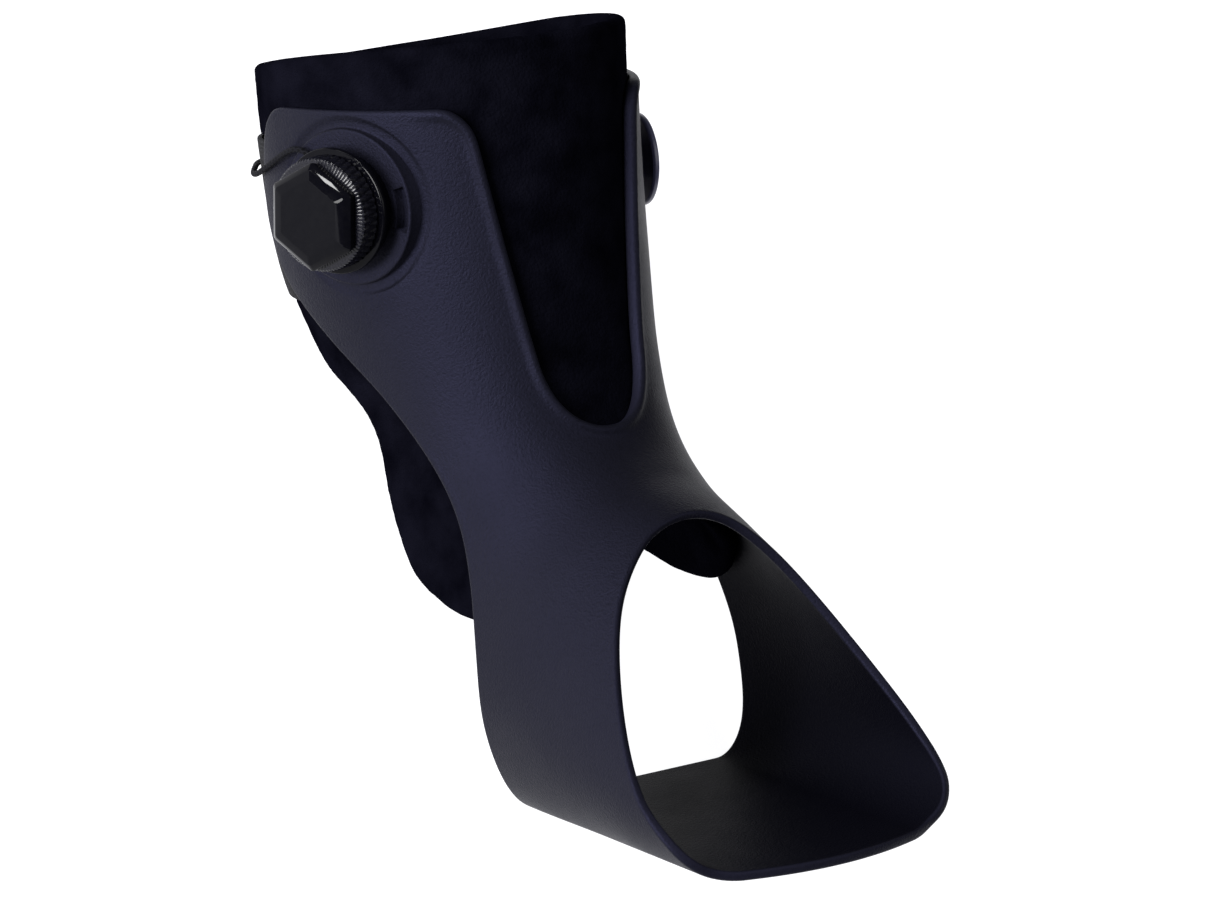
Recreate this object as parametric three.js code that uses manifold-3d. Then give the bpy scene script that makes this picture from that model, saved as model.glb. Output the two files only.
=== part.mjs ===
// Foot drop brace: a moulded front shell with a foot loop, a foam liner, a rear calf strap,
// and a lace that runs from a ratchet dial on one wing to a button on the other.
// Millimetres. The brace is drawn upright (X across, -Y towards the toes, Z up, sole at zero)
// and the finished group leans back until it lies as it would by itself.
import * as THREE from 'three';
import { mergeVertices } from 'three/addons/utils/BufferGeometryUtils.js';
import Module from 'manifold-3d';

const wasm = await Module();
wasm.setup();

// Overall form of the leg and foot
const FORM_HEIGHT = 240;
const FORM_DEPTH = 260;
const CALF_WIDTH = 121;
const ANKLE_WIDTH = 101;
const FOOT_WIDTH = 111;

// Walls and clearances
const SHELL_WALL = 3.2;
const LINER_WALL = 5.5;
const STRAP_WALL = 1.8;
const SEAT_GAP = 0.35;
const RUNNING_GAP = 0.35;

// Shell openings and lip
const NOTCH_BOTTOM_WIDTH = 41;
const NOTCH_TOP_WIDTH = 62;
const NOTCH_FLOOR = 0.498 * FORM_HEIGHT;
const WING_TOP = 0.928 * FORM_HEIGHT;
const WING_CORNER = 13;
const TOE_BOW = 7;
const LIP_RADIUS = 1.7;

// Rear strap
const STRAP_HEIGHT = 52;
const STRAP_TUCK = 9;

// Dial, from the wing outwards
const DIAL_BACK = 126.9;
const DIAL_HEIGHT = 188;
const RECESS_RADIUS = 29.5;
const RECESS_DEPTH = 0.8;
const BOSS_RADIUS = 25.5;
const BOSS_RISE = 1.2;
const SLOT_RADIUS = 22.1;
const SLOT_WIDTH = 3.7;
const SLOT_DEPTH = 3.4;
const SLOT_FROM = -14;
const SLOT_TO = 24;
const BASE_RADIUS = 20.6;
const BASE_NECK = 18;
const BASE_THICKNESS = 7.4;
const BASE_FLANGE = 2.2;
const POST_RADIUS = 5;
const GRIP_RADIUS = 18.7;
const GRIP_HEIGHT = 7.5;
const GRIP_BORE = 12;
const GRIP_TEETH = 32;
const TOOTH_DEPTH = 0.7;
const CAP_RADIUS = 18;
const CAP_HEIGHT = 5;
const CAP_BEVEL = 3.2;
const STEM_LENGTH = 3;

// Button on the other wing
const BUTTON_RADIUS = 15.4;
const BUTTON_THICKNESS = 2.4;
const BUTTON_STAND_OFF = 3.8;
const HUB_RADIUS = 6.5;

// Lace
const LACE_DIAMETER = 2;
const LACE_SIDES = 8;

// Least lean that takes the brace off its sole
const MIN_LEAN = Math.PI / 12;

// Mesh density
const FORM_ROWS = 25;
const FORM_COLUMNS = 42;
const ROUND_SEGMENTS = 36;
const CURVE_SEGMENTS = 3;
const BOW_STEPS = 14;

// Sections of the leg from the calf to the toes, each a closed curve through a front and a back
// point of the side view. Depths are shares of FORM_DEPTH, measured back from the sole's centre,
// rises are shares of FORM_HEIGHT, and width is a share of the named width. widest is the place
// of the greatest width from front to back, square the fullness of the front curve, and flat the
// share of the width that is straight at the back.
const sections = (named, rows) => rows.map(
  ([frontDepth, frontRise, backDepth, backRise, width, widest, square, flat]) => ({
    frontY: frontDepth * FORM_DEPTH,
    frontZ: frontRise * FORM_HEIGHT,
    backY: backDepth * FORM_DEPTH,
    backZ: backRise * FORM_HEIGHT,
    half: (width * named) / 2,
    widest,
    square,
    flatHalf: (flat * width * named) / 2,
  }),
);
const SECTIONS = [
  // frontDepth, frontRise, backDepth, backRise, width, widest, square, flat
  ...sections(CALF_WIDTH, [
    [0.339, 1.046, 0.822, 0.954, 1.03, 0.6, 2.25, 0.13],
    [0.315, 0.883, 0.803, 0.792, 1.01, 0.6, 2.1, 0.15],
    [0.295, 0.725, 0.765, 0.625, 0.965, 0.58, 2.1, 0.2],
  ]),
  ...sections(ANKLE_WIDTH, [
    [0.272, 0.588, 0.673, 0.438, 1.01, 0.56, 2.3, 0.15],
    [0.237, 0.495, 0.608, 0.229, 0.96, 0.52, 2.4, 0.24],
    [0.177, 0.446, 0.492, 0, 1.03, 0.52, 2.2, 0.41],
  ]),
  ...sections(FOOT_WIDTH, [
    [0.092, 0.414, 0.238, 0, 1.0, 0.64, 1.9, 0.64],
    [-0.036, 0.35, 0.015, 0, 1.05, 0.7, 1.75, 0.6],
    [-0.158, 0.245, -0.223, 0, 1.085, 0.66, 1.75, 0.58],
  ]),
];
// How much of a section's back quarter is round, the rest straight
const ARC_SHARE = 0.62;

// Side views, as shares of FORM_DEPTH and FORM_HEIGHT
const SHELL_TOP = [
  [0.12, 0.956],
  [0.62, 0.898],
];
const SHELL_BACK = [
  [0.62, 0.898],
  [0.645, 0.865],
  [0.662, 0.775],
  [0.656, 0.712],
  [0.624, 0.655],
  [0.538, 0.583],
  [0.45, 0.517],
  [0.377, 0.446],
  [0.319, 0.371],
  [0.281, 0.296],
  [0.25, 0.208],
  [0.231, 0.125],
  [0.21, 0.042],
  [0.2, -0.04],
];
const SHELL_TOE = [
  [-0.19, -0.04],
  [-0.186, 0.008],
  [-0.159, 0.05],
  [-0.094, 0.117],
  [-0.022, 0.208],
  [0.039, 0.3],
  [0.071, 0.367],
  [0.085, 0.412],
  [0.08, 0.479],
  [0.1, 0.583],
];
const LINER_RIM = [
  [0.27, 1.03],
  [0.323, 1.022],
  [0.6, 0.967],
  [0.95, 0.87],
];
const LINER_REAR = [
  [0.95, 0.64],
  [0.74, 0.632],
  [0.69, 0.6],
  [0.678, 0.556],
  [0.632, 0.528],
  [0.538, 0.497],
  [0.495, 0.455],
  [0.476, 0.36],
  [0.43, 0.285],
  [0.36, 0.257],
  [0.296, 0.25],
  [0.231, 0.265],
  [0.169, 0.33],
  [0.12, 0.42],
];
const STRAP_LOW = [
  [0.662, 0.617],
  [0.95, 0.585],
];
const STRAP_FRONT_RISE = 0.627;
// The notch's lower corner, across and up, as shares of half its bottom width
const NOTCH_BEND = [
  [0.62, 0],
  [0.94, 0.45],
  [1, 1.15],
];
// How the toe end bows: the straight sole's share that the bow spans, the height over which it
// fades, and the share of the bow that the corners go back
const BOW_SPAN = 1.11;
const BOW_FADE = 0.06 * FORM_HEIGHT;
const BOW_CORNER = 0.35;
// The lace round the back: v and turn on the form, the layers that it lies under, and its lift
// as a share of its diameter
const LACE_ROUTE = [
  [0.14, -102, 0, 0.3],
  [0.137, -113, 0, 0.15],
  [0.135, -130, 1, 0.3],
  [0.134, -150, 1, 0.05],
  [0.134, -180, 1, 0.05],
  [0.134, 150, 1, 0.05],
  [0.135, 130, 1, 0.3],
  [0.137, 113, 0, 0.15],
  [0.146, 97, 0, 0.2],
  [0.156, 86, 0, 0.2],
];

const MATERIALS = {
  shell: new THREE.MeshStandardMaterial({ color: 0x23232f, roughness: 0.5, metalness: 0 }),
  liner: new THREE.MeshStandardMaterial({ color: 0x08080c, roughness: 0.95, metalness: 0 }),
  strap: new THREE.MeshStandardMaterial({ color: 0x121218, roughness: 0.8, metalness: 0 }),
  gloss: new THREE.MeshStandardMaterial({ color: 0x0a0a0e, roughness: 0.12, metalness: 0 }),
  grip: new THREE.MeshStandardMaterial({ color: 0x101014, roughness: 0.45, metalness: 0 }),
  button: new THREE.MeshStandardMaterial({ color: 0x2c2c3a, roughness: 0.4, metalness: 0 }),
  lace: new THREE.MeshStandardMaterial({ color: 0x18181c, roughness: 0.6, metalness: 0 }),
};

// A section at v, from 0 at the calf to 1 at the toes, on a smooth curve through the table.
function sectionAt(v) {
  const last = SECTIONS.length - 1;
  const place = THREE.MathUtils.clamp(v, 0, 1) * last;
  const index = Math.min(Math.floor(place), last - 1);
  const f = place - index;
  const section = {};
  for (const key of Object.keys(SECTIONS[0])) {
    const p1 = SECTIONS[index][key];
    const p2 = SECTIONS[index + 1][key];
    const p0 = index > 0 ? SECTIONS[index - 1][key] : 2 * p1 - p2;
    const p3 = index + 2 <= last ? SECTIONS[index + 2][key] : 2 * p2 - p1;
    const bend = 2 * p0 - 5 * p1 + 4 * p2 - p3;
    const twist = 3 * p1 - p0 - 3 * p2 + p3;
    section[key] = 0.5 * (2 * p1 + (p2 - p0) * f + bend * f * f + twist * f * f * f);
  }
  return section;
}

// The outer surface of the shell's form. turn runs from 0 at the front to 180 degrees at the
// back, negative on the dial's side.
function formPoint(v, turn) {
  const s = sectionAt(v);
  const side = Math.sign(turn) || 1;
  const angle = Math.abs(turn);
  let x;
  let share;
  if (angle <= 90) {
    const a = THREE.MathUtils.degToRad(angle);
    x = s.half * Math.sin(a) ** (2 / s.square);
    share = s.widest * (1 - Math.max(Math.cos(a), 0) ** (2 / s.square));
  } else {
    const q = Math.min((angle - 90) / 90, 1);
    const a = (Math.PI / 2) * Math.min(q / ARC_SHARE, 1);
    const straight = s.flatHalf * (1 - (q - ARC_SHARE) / (1 - ARC_SHARE));
    x = q < ARC_SHARE ? s.flatHalf + (s.half - s.flatHalf) * Math.cos(a) : straight;
    share = s.widest + (1 - s.widest) * Math.sin(a);
  }
  return new THREE.Vector3(
    side * x,
    THREE.MathUtils.lerp(s.frontY, s.backY, share),
    THREE.MathUtils.lerp(s.frontZ, s.backZ, share),
  );
}

// The form's outward normal, from small steps along it and round it.
function formNormal(v, turn) {
  const stepAlong = 0.004;
  const stepRound = 0.5;
  const ahead = formPoint(Math.min(v + stepAlong, 1), turn);
  const along = ahead.sub(formPoint(Math.max(v - stepAlong, 0), turn));
  const round = formPoint(v, turn + stepRound).sub(formPoint(v, turn - stepRound));
  return round.cross(along).normalize().negate();
}

// A point at a distance off the form, negative inside it.
function offForm(v, turn, distance) {
  return formPoint(v, turn).addScaledVector(formNormal(v, turn), distance);
}

// A closed solid through rings of points, with a fan over each end.
function ringSolid(rings) {
  const count = rings[0].length;
  const positions = rings.flat().flatMap((p) => [p.x, p.y, p.z]);
  const index = [];
  const at = (ring, point) => ring * count + (point % count);
  for (let ring = 0; ring < rings.length - 1; ring += 1) {
    for (let point = 0; point < count; point += 1) {
      index.push(at(ring, point), at(ring + 1, point), at(ring, point + 1));
      index.push(at(ring, point + 1), at(ring + 1, point), at(ring + 1, point + 1));
    }
  }
  for (const ring of [0, rings.length - 1]) {
    const centre = rings[ring].reduce((sum, p) => sum.add(p), new THREE.Vector3());
    centre.divideScalar(count);
    const middle = positions.length / 3;
    positions.push(centre.x, centre.y, centre.z);
    for (let point = 0; point < count; point += 1) {
      const pair = [at(ring, point), at(ring, point + 1)];
      index.push(middle, ...(ring === 0 ? pair : pair.reverse()));
    }
  }
  const geometry = new THREE.BufferGeometry();
  geometry.setAttribute('position', new THREE.Float32BufferAttribute(positions, 3));
  geometry.setIndex(index);
  return geometry;
}

// A solid for joining and cutting, from a closed geometry.
function solidOf(geometry) {
  const bare = geometry.clone();
  bare.deleteAttribute('normal');
  bare.deleteAttribute('uv');
  const merged = mergeVertices(bare, 1e-4);
  return new wasm.Manifold(new wasm.Mesh({
    numProp: 3,
    vertProperties: new Float32Array(merged.attributes.position.array),
    triVerts: new Uint32Array(merged.index.array),
  }));
}

// A geometry from a joined or cut solid.
function geometryOf(solid) {
  const { vertProperties, triVerts } = solid.getMesh();
  const geometry = new THREE.BufferGeometry();
  geometry.setAttribute('position', new THREE.Float32BufferAttribute(vertProperties, 3));
  geometry.setIndex(Array.from(triVerts));
  geometry.computeVertexNormals();
  return geometry;
}

// The whole form as one solid, at a distance off its outer surface.
function formSolid(distance) {
  const rings = [];
  for (let row = 0; row <= FORM_ROWS; row += 1) {
    const ring = [];
    for (let column = 0; column < FORM_COLUMNS; column += 1) {
      const turn = (360 * (column + 0.5)) / FORM_COLUMNS - 180;
      ring.push(offForm(row / FORM_ROWS, turn, distance));
    }
    rings.push(ring);
  }
  return solidOf(ringSolid(rings));
}

// Points of a side view, from shares of the form's depth and height.
function sidePoints(shares) {
  return shares.map(([depth, rise]) => new THREE.Vector2(depth * FORM_DEPTH, rise * FORM_HEIGHT));
}

// A side view extruded right across the form.
function sidePrism(shape, steps = 1) {
  const width = 1.4 * Math.max(CALF_WIDTH, ANKLE_WIDTH, FOOT_WIDTH);
  const geometry = new THREE.ExtrudeGeometry(shape, {
    depth: width,
    steps,
    bevelEnabled: false,
    curveSegments: CURVE_SEGMENTS,
  });
  geometry.translate(0, 0, -width / 2);
  geometry.applyMatrix4(new THREE.Matrix4().makeBasis(
    new THREE.Vector3(0, 1, 0),
    new THREE.Vector3(0, 0, 1),
    new THREE.Vector3(1, 0, 0),
  ));
  return geometry;
}

// Bows the toe end of the sole forwards between its corners.
function bowToe(geometry) {
  const half = BOW_SPAN * SECTIONS.at(-1).flatHalf;
  const place = geometry.attributes.position;
  for (let i = 0; i < place.count; i += 1) {
    if (place.getY(i) < 0) {
      const across = 1 - (place.getX(i) / half) ** 2;
      const fade = THREE.MathUtils.clamp(1 - place.getZ(i) / BOW_FADE, 0, 1);
      place.setY(i, place.getY(i) - TOE_BOW * fade * Math.max(across, -BOW_CORNER));
    }
  }
  return geometry;
}

// The shell's side view: wings, ankle, and foot loop with its toe and heel ends.
function shellOutline() {
  const back = sidePoints(SHELL_BACK);
  const toe = sidePoints(SHELL_TOE);
  const [topFront, topBack] = sidePoints(SHELL_TOP);
  const shape = new THREE.Shape();
  shape.moveTo(topFront.x, topFront.y);
  shape.lineTo(topBack.x, topBack.y);
  shape.splineThru(back.slice(1));
  shape.lineTo(toe[0].x, toe[0].y);
  shape.splineThru(toe.slice(1));
  return shape;
}

// The liner's side view: rim, closed calf band, and lower flap round the ankle bone.
function linerOutline() {
  const rim = sidePoints(LINER_RIM);
  const rear = sidePoints(LINER_REAR);
  const shape = new THREE.Shape();
  shape.moveTo(rim[0].x, rim[0].y);
  shape.splineThru(rim.slice(1));
  shape.lineTo(rear[0].x, rear[0].y);
  shape.lineTo(rear[1].x, rear[1].y);
  shape.splineThru(rear.slice(2));
  return shape;
}

// The strap's side view, tucked in front of the shell's back edge and grown for its clearance.
function strapOutline(grow) {
  const [bend, back] = sidePoints(STRAP_LOW);
  const front = STRAP_FRONT_RISE * FORM_HEIGHT;
  const edge = sidePoints(SHELL_BACK);
  const shape = new THREE.Shape();
  shape.moveTo(edge[5].x + STRAP_TUCK - grow, front - grow);
  shape.lineTo(bend.x, bend.y - grow);
  shape.lineTo(back.x, back.y - grow);
  shape.lineTo(back.x, back.y + STRAP_HEIGHT + grow);
  shape.lineTo(edge[2].x - STRAP_TUCK - grow, front + STRAP_HEIGHT + grow);
  return shape;
}

// One side of the notch between the wings, from its bottom up to the rounded wing corner.
function notchSide(side) {
  const low = NOTCH_BOTTOM_WIDTH / 2;
  const high = NOTCH_TOP_WIDTH / 2;
  const bend = NOTCH_BEND.flatMap(([across, up]) => [side * across * low, NOTCH_FLOOR + up * low]);
  const path = new THREE.Path();
  path.moveTo(0, NOTCH_FLOOR);
  path.bezierCurveTo(...bend);
  path.lineTo(side * high, WING_TOP - WING_CORNER);
  path.quadraticCurveTo(side * (high + 0.08 * WING_CORNER), WING_TOP - 0.1 * WING_CORNER,
    side * (high + WING_CORNER), WING_TOP + 0.08 * WING_CORNER);
  return path;
}

// The notch as a cutter that runs from the front into the leg space.
function notchCutter() {
  const right = notchSide(1).getPoints(CURVE_SEGMENTS);
  const left = notchSide(-1).getPoints(CURVE_SEGMENTS).reverse();
  const above = 1.2 * FORM_HEIGHT;
  const corner = right.at(-1).x;
  const shape = new THREE.Shape([
    ...right,
    new THREE.Vector2(corner, above),
    new THREE.Vector2(-corner, above),
    ...left.slice(0, -1),
  ]);
  const inFront = -0.4 * FORM_DEPTH;
  const inLegSpace = 0.45 * FORM_DEPTH;
  const depth = inLegSpace - inFront;
  const geometry = new THREE.ExtrudeGeometry(shape, { depth, steps: 1, bevelEnabled: false });
  geometry.applyMatrix4(new THREE.Matrix4().makeBasis(
    new THREE.Vector3(1, 0, 0),
    new THREE.Vector3(0, 0, 1),
    new THREE.Vector3(0, -1, 0),
  ));
  geometry.translate(0, inLegSpace, 0);
  return geometry;
}

// The place on the form's front or side that has the two given coordinates.
function placeOnForm(start, wanted, read) {
  let { v, turn } = start;
  for (let pass = 0; pass < 24; pass += 1) {
    const here = read(formPoint(v, turn));
    const alongStep = 0.001;
    const roundStep = 0.1;
    const along = read(formPoint(v + alongStep, turn));
    const round = read(formPoint(v, turn + roundStep));
    const a = (along[0] - here[0]) / alongStep;
    const b = (round[0] - here[0]) / roundStep;
    const c = (along[1] - here[1]) / alongStep;
    const d = (round[1] - here[1]) / roundStep;
    const missing = [wanted[0] - here[0], wanted[1] - here[1]];
    const scale = a * d - b * c;
    v += THREE.MathUtils.clamp((d * missing[0] - b * missing[1]) / scale, -0.05, 0.05);
    turn += THREE.MathUtils.clamp((a * missing[1] - c * missing[0]) / scale, -8, 8);
  }
  return { v, turn };
}

// A rounded lip along the notch, from one wing corner to the other.
function notchLip() {
  const points = [];
  const sink = 0.25 * LIP_RADIUS;
  const away = 0.8 * LIP_RADIUS;
  for (const side of [-1, 1]) {
    const line = notchSide(side).getSpacedPoints(16);
    const walk = side < 0 ? line.reverse() : line.slice(1);
    for (const { x, y } of walk) {
      const below = Math.min(y - NOTCH_FLOOR - NOTCH_BOTTOM_WIDTH / 2, 0);
      const out = Math.hypot(x, below) || 1;
      const wanted = [x + (away * x) / out, y + (away * below) / out];
      const start = { v: 0.5 - 0.42 * ((y - NOTCH_FLOOR) / (WING_TOP - NOTCH_FLOOR)), turn: x };
      const { v, turn } = placeOnForm(start, wanted, (p) => [p.x, p.z]);
      points.push(offForm(v, turn, -sink));
    }
  }
  const path = new THREE.CatmullRomCurve3(points);
  const round = new THREE.Shape().absarc(0, 0, LIP_RADIUS, 0, 2 * Math.PI);
  return new THREE.ExtrudeGeometry(round, {
    steps: 44,
    curveSegments: 4,
    bevelEnabled: false,
    extrudePath: path,
  });
}

// Where a wing's fitting sits: origin on the form, Z outwards, X towards the front.
function wingFrame(side) {
  const start = { v: 0.18, turn: side * 72 };
  const wanted = [DIAL_BACK, DIAL_HEIGHT];
  const { v, turn } = placeOnForm(start, wanted, (p) => [p.y, p.z]);
  const out = formNormal(v, turn);
  const front = new THREE.Vector3(0, 0, 1).cross(out).multiplyScalar(-side).normalize();
  const up = out.clone().cross(front);
  return new THREE.Matrix4().makeBasis(front, up, out).setPosition(formPoint(v, turn));
}

// A round solid about the fitting's axis, from radius and height pairs.
function turned(profile, segments = ROUND_SEGMENTS) {
  const points = profile.map(([radius, height]) => new THREE.Vector2(radius, height));
  const geometry = new THREE.LatheGeometry(points, segments);
  return geometry.rotateX(Math.PI / 2);
}

// A plain disc or cylinder about the fitting's axis.
function turnedDisc(radius, from, to, rootRadius = radius) {
  return turned([[0, from], [rootRadius, from], [radius, to], [0, to]]);
}

// The arc slot in the dial's boss.
function slotCutter() {
  const from = THREE.MathUtils.degToRad(SLOT_FROM);
  const to = THREE.MathUtils.degToRad(SLOT_TO);
  const shape = new THREE.Shape();
  shape.absarc(0, 0, SLOT_RADIUS + SLOT_WIDTH / 2, from, to, false);
  shape.absarc(0, 0, SLOT_RADIUS - SLOT_WIDTH / 2, to, from, true);
  const geometry = new THREE.ExtrudeGeometry(shape, {
    depth: 2 * SLOT_DEPTH,
    bevelEnabled: false,
    curveSegments: CURVE_SEGMENTS,
  });
  return geometry.translate(0, 0, BOSS_RISE - SLOT_DEPTH);
}

const outerForm = formSolid(0);
const shellInside = formSolid(-SHELL_WALL);
const linerOutside = formSolid(-SHELL_WALL - SEAT_GAP);
const linerInside = formSolid(-SHELL_WALL - SEAT_GAP - LINER_WALL);
const strapInside = formSolid(-SHELL_WALL - SEAT_GAP - STRAP_WALL);
const strapBed = formSolid(-SHELL_WALL - 2 * SEAT_GAP - STRAP_WALL);
const dialFrame = wingFrame(-1);
const buttonFrame = wingFrame(1);

function makeShell() {
  const deep = 4 * SHELL_WALL;
  const recessTool = solidOf(turnedDisc(RECESS_RADIUS, -deep, deep).applyMatrix4(dialFrame));
  const bossTool = solidOf(turnedDisc(BOSS_RADIUS, -deep, BOSS_RISE).applyMatrix4(dialFrame));
  const slot = solidOf(slotCutter().applyMatrix4(dialFrame));
  const lip = solidOf(notchLip());
  const outline = solidOf(bowToe(sidePrism(shellOutline(), BOW_STEPS)));
  const lipBand = lip.intersect(outline);
  const notched = outerForm.intersect(outline).subtract(solidOf(notchCutter()));
  return notched
    .subtract(recessTool.subtract(formSolid(-RECESS_DEPTH)))
    .add(bossTool)
    .add(lipBand)
    .subtract(shellInside)
    .subtract(slot);
}

function makeLiner() {
  const bed = outerForm.subtract(strapBed).intersect(solidOf(sidePrism(strapOutline(SEAT_GAP))));
  return linerOutside
    .subtract(linerInside)
    .intersect(solidOf(sidePrism(linerOutline())))
    .subtract(bed);
}

function makeStrap() {
  return linerOutside.subtract(strapInside).intersect(solidOf(sidePrism(strapOutline(0))));
}

// Heights along the dial's axis
const BASE_FOOT = BOSS_RISE + SEAT_GAP;
const BASE_TOP = BASE_FOOT + BASE_THICKNESS;
const GRIP_FOOT = BASE_TOP + RUNNING_GAP;
const GRIP_TOP = GRIP_FOOT + GRIP_HEIGHT;
const CAP_FOOT = GRIP_TOP + SEAT_GAP;
const STEM_FOOT = CAP_FOOT - STEM_LENGTH;
const POST_TOP = STEM_FOOT - RUNNING_GAP;

function dialBase() {
  return turned([
    [0, BASE_FOOT],
    [BASE_NECK, BASE_FOOT],
    [BASE_NECK, BASE_TOP - BASE_FLANGE],
    [BASE_RADIUS, BASE_TOP - 0.8 * BASE_FLANGE],
    [BASE_RADIUS, BASE_TOP - 0.2 * BASE_FLANGE],
    [0.975 * BASE_RADIUS, BASE_TOP],
    [POST_RADIUS, BASE_TOP],
    [POST_RADIUS, POST_TOP],
    [0, POST_TOP],
  ]);
}

// The knurled ring under the cap, one tooth a wave of its rim.
function dialGrip() {
  const shape = new THREE.Shape();
  const root = GRIP_RADIUS - TOOTH_DEPTH;
  const wave = [[0, GRIP_RADIUS], [0.45, GRIP_RADIUS], [0.62, root], [0.83, root]];
  for (let tooth = 0; tooth < GRIP_TEETH; tooth += 1) {
    for (const [part, radius] of wave) {
      const angle = (2 * Math.PI * (tooth + part)) / GRIP_TEETH;
      const point = [radius * Math.cos(angle), radius * Math.sin(angle)];
      if (tooth === 0 && part === 0) {
        shape.moveTo(...point);
      } else {
        shape.lineTo(...point);
      }
    }
  }
  shape.holes.push(new THREE.Path().absarc(0, 0, GRIP_BORE, 0, 2 * Math.PI, true));
  const geometry = new THREE.ExtrudeGeometry(shape, {
    depth: GRIP_HEIGHT,
    bevelEnabled: false,
    curveSegments: ROUND_SEGMENTS / 2,
  });
  return geometry.translate(0, 0, GRIP_FOOT);
}

// The six-sided cap with its bevelled top, on a round stem that fits in the grip.
function dialCap() {
  const top = CAP_FOOT + CAP_HEIGHT;
  const shoulder = top - 0.45 * CAP_HEIGHT;
  const head = turned([
    [0, CAP_FOOT],
    [0.97 * CAP_RADIUS, CAP_FOOT],
    [CAP_RADIUS, shoulder],
    [CAP_RADIUS - CAP_BEVEL, top],
    [0, top],
  ], 6);
  const stem = turnedDisc(GRIP_BORE - SEAT_GAP, STEM_FOOT, CAP_FOOT + 0.1 * CAP_HEIGHT);
  return geometryOf(solidOf(head).add(solidOf(stem)));
}

function farButton() {
  const foot = SEAT_GAP;
  const face = BUTTON_STAND_OFF + BUTTON_THICKNESS;
  return turned([
    [0, foot],
    [HUB_RADIUS, foot],
    [HUB_RADIUS, BUTTON_STAND_OFF],
    [0.95 * BUTTON_RADIUS, BUTTON_STAND_OFF],
    [BUTTON_RADIUS, BUTTON_STAND_OFF + 0.3 * BUTTON_THICKNESS],
    [BUTTON_RADIUS, face - 0.3 * BUTTON_THICKNESS],
    [0.95 * BUTTON_RADIUS, face],
    [0, face],
  ]);
}

// The lace leaves the base's rear, passes over the boss and the wing's back edge, lies on the
// strap and comes round to the button's hub.
function laceCurve() {
  const radius = LACE_DIAMETER / 2;
  const clear = radius + SEAT_GAP;
  const layer = SHELL_WALL + SEAT_GAP;
  const fitting = (frame, reach, angle, height) => new THREE.Vector3(
    reach * Math.cos(angle),
    reach * Math.sin(angle),
    height,
  ).applyMatrix4(frame);
  const start = [
    fitting(dialFrame, BASE_NECK + clear, 0.8 * Math.PI, BOSS_RISE + clear + 0.1 * LACE_DIAMETER),
    fitting(dialFrame, BOSS_RADIUS + clear, 0.82 * Math.PI, BOSS_RISE + clear + 0.1 * LACE_DIAMETER),
  ];
  const round = LACE_ROUTE.map(([v, turn, under, lift]) => (
    offForm(v, turn, clear - under * layer + lift * LACE_DIAMETER)));
  const end = fitting(buttonFrame, HUB_RADIUS + clear, -0.8 * Math.PI, clear + 0.15 * LACE_DIAMETER);
  return new THREE.CatmullRomCurve3([...start, ...round, end]);
}

function lace() {
  const round = new THREE.Shape().absarc(0, 0, LACE_DIAMETER / 2, 0, 2 * Math.PI);
  return new THREE.ExtrudeGeometry(round, {
    steps: 56,
    curveSegments: LACE_SIDES / 2,
    bevelEnabled: false,
    extrudePath: laceCurve(),
  });
}

function piece(name, geometry, material) {
  const mesh = new THREE.Mesh(geometry, material);
  mesh.name = name;
  return mesh;
}

// Pieces on a wing, placed by the wing's frame.
function onWing(frame, pieces) {
  const group = new THREE.Group();
  frame.decompose(group.position, group.quaternion, group.scale);
  group.add(...pieces);
  return group;
}

const upright = new THREE.Group();
upright.add(
  piece('shell', geometryOf(makeShell()), MATERIALS.shell),
  piece('liner', geometryOf(makeLiner()), MATERIALS.liner),
  piece('calf_strap', geometryOf(makeStrap()), MATERIALS.strap),
  onWing(dialFrame, [
    piece('dial_base', dialBase(), MATERIALS.gloss),
    piece('dial_grip', dialGrip(), MATERIALS.grip),
    piece('dial_cap', dialCap(), MATERIALS.gloss),
  ]),
  onWing(buttonFrame, [piece('far_button', farButton(), MATERIALS.button)]),
  piece('lace', lace(), MATERIALS.lace),
);

// The side view of every piece, as depth and height.
function sideView(group) {
  group.updateMatrixWorld(true);
  const points = [];
  group.traverse((mesh) => {
    const place = mesh.isMesh ? mesh.geometry.attributes.position : { count: 0 };
    for (let i = 0; i < place.count; i += 1) {
      const p = new THREE.Vector3().fromBufferAttribute(place, i).applyMatrix4(mesh.matrixWorld);
      points.push(new THREE.Vector2(p.y, p.z));
    }
  });
  return points;
}

// How far the brace leans back to lie on the longest side of its hull between heel and calf.
function restingLean(points) {
  const sorted = points.sort((a, b) => a.x - b.x || a.y - b.y);
  const hull = [];
  for (const p of sorted) {
    while (hull.length > 1) {
      const a = hull.at(-1).clone().sub(hull.at(-2));
      if (a.cross(p.clone().sub(hull.at(-1))) > 0) {
        break;
      }
      hull.pop();
    }
    hull.push(p);
  }
  const sides = hull.slice(1).map((p, i) => p.clone().sub(hull[i]));
  const rising = sides.filter((side) => side.angle() > MIN_LEAN && side.angle() < Math.PI / 2);
  const longest = rising.reduce((best, side) => (side.length() > best.length() ? side : best));
  return longest.angle();
}

const group = new THREE.Group();
group.name = 'foot_drop_brace';
group.add(upright);
upright.rotation.x = -restingLean(sideView(upright));
group.updateMatrixWorld(true);
const extent = new THREE.Box3().setFromObject(group, true);
const middle = extent.getCenter(new THREE.Vector3());
upright.position.set(-middle.x, -middle.y, -extent.min.z);

export default group;
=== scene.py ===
"""Looks of a foot drop brace: moulded shell, padded liner, calf strap, ratchet dial, button, lace.

Metres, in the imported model's frame. The brace is worked out upright (X across, -Y to the toes,
Z up, sole at zero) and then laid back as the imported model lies.
"""

import logging
import math
from dataclasses import dataclass, field
from enum import Enum
from typing import Callable, Mapping, Sequence

import bmesh
import bpy
import numpy as np
from mathutils import Matrix, Vector, geometry, noise

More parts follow.
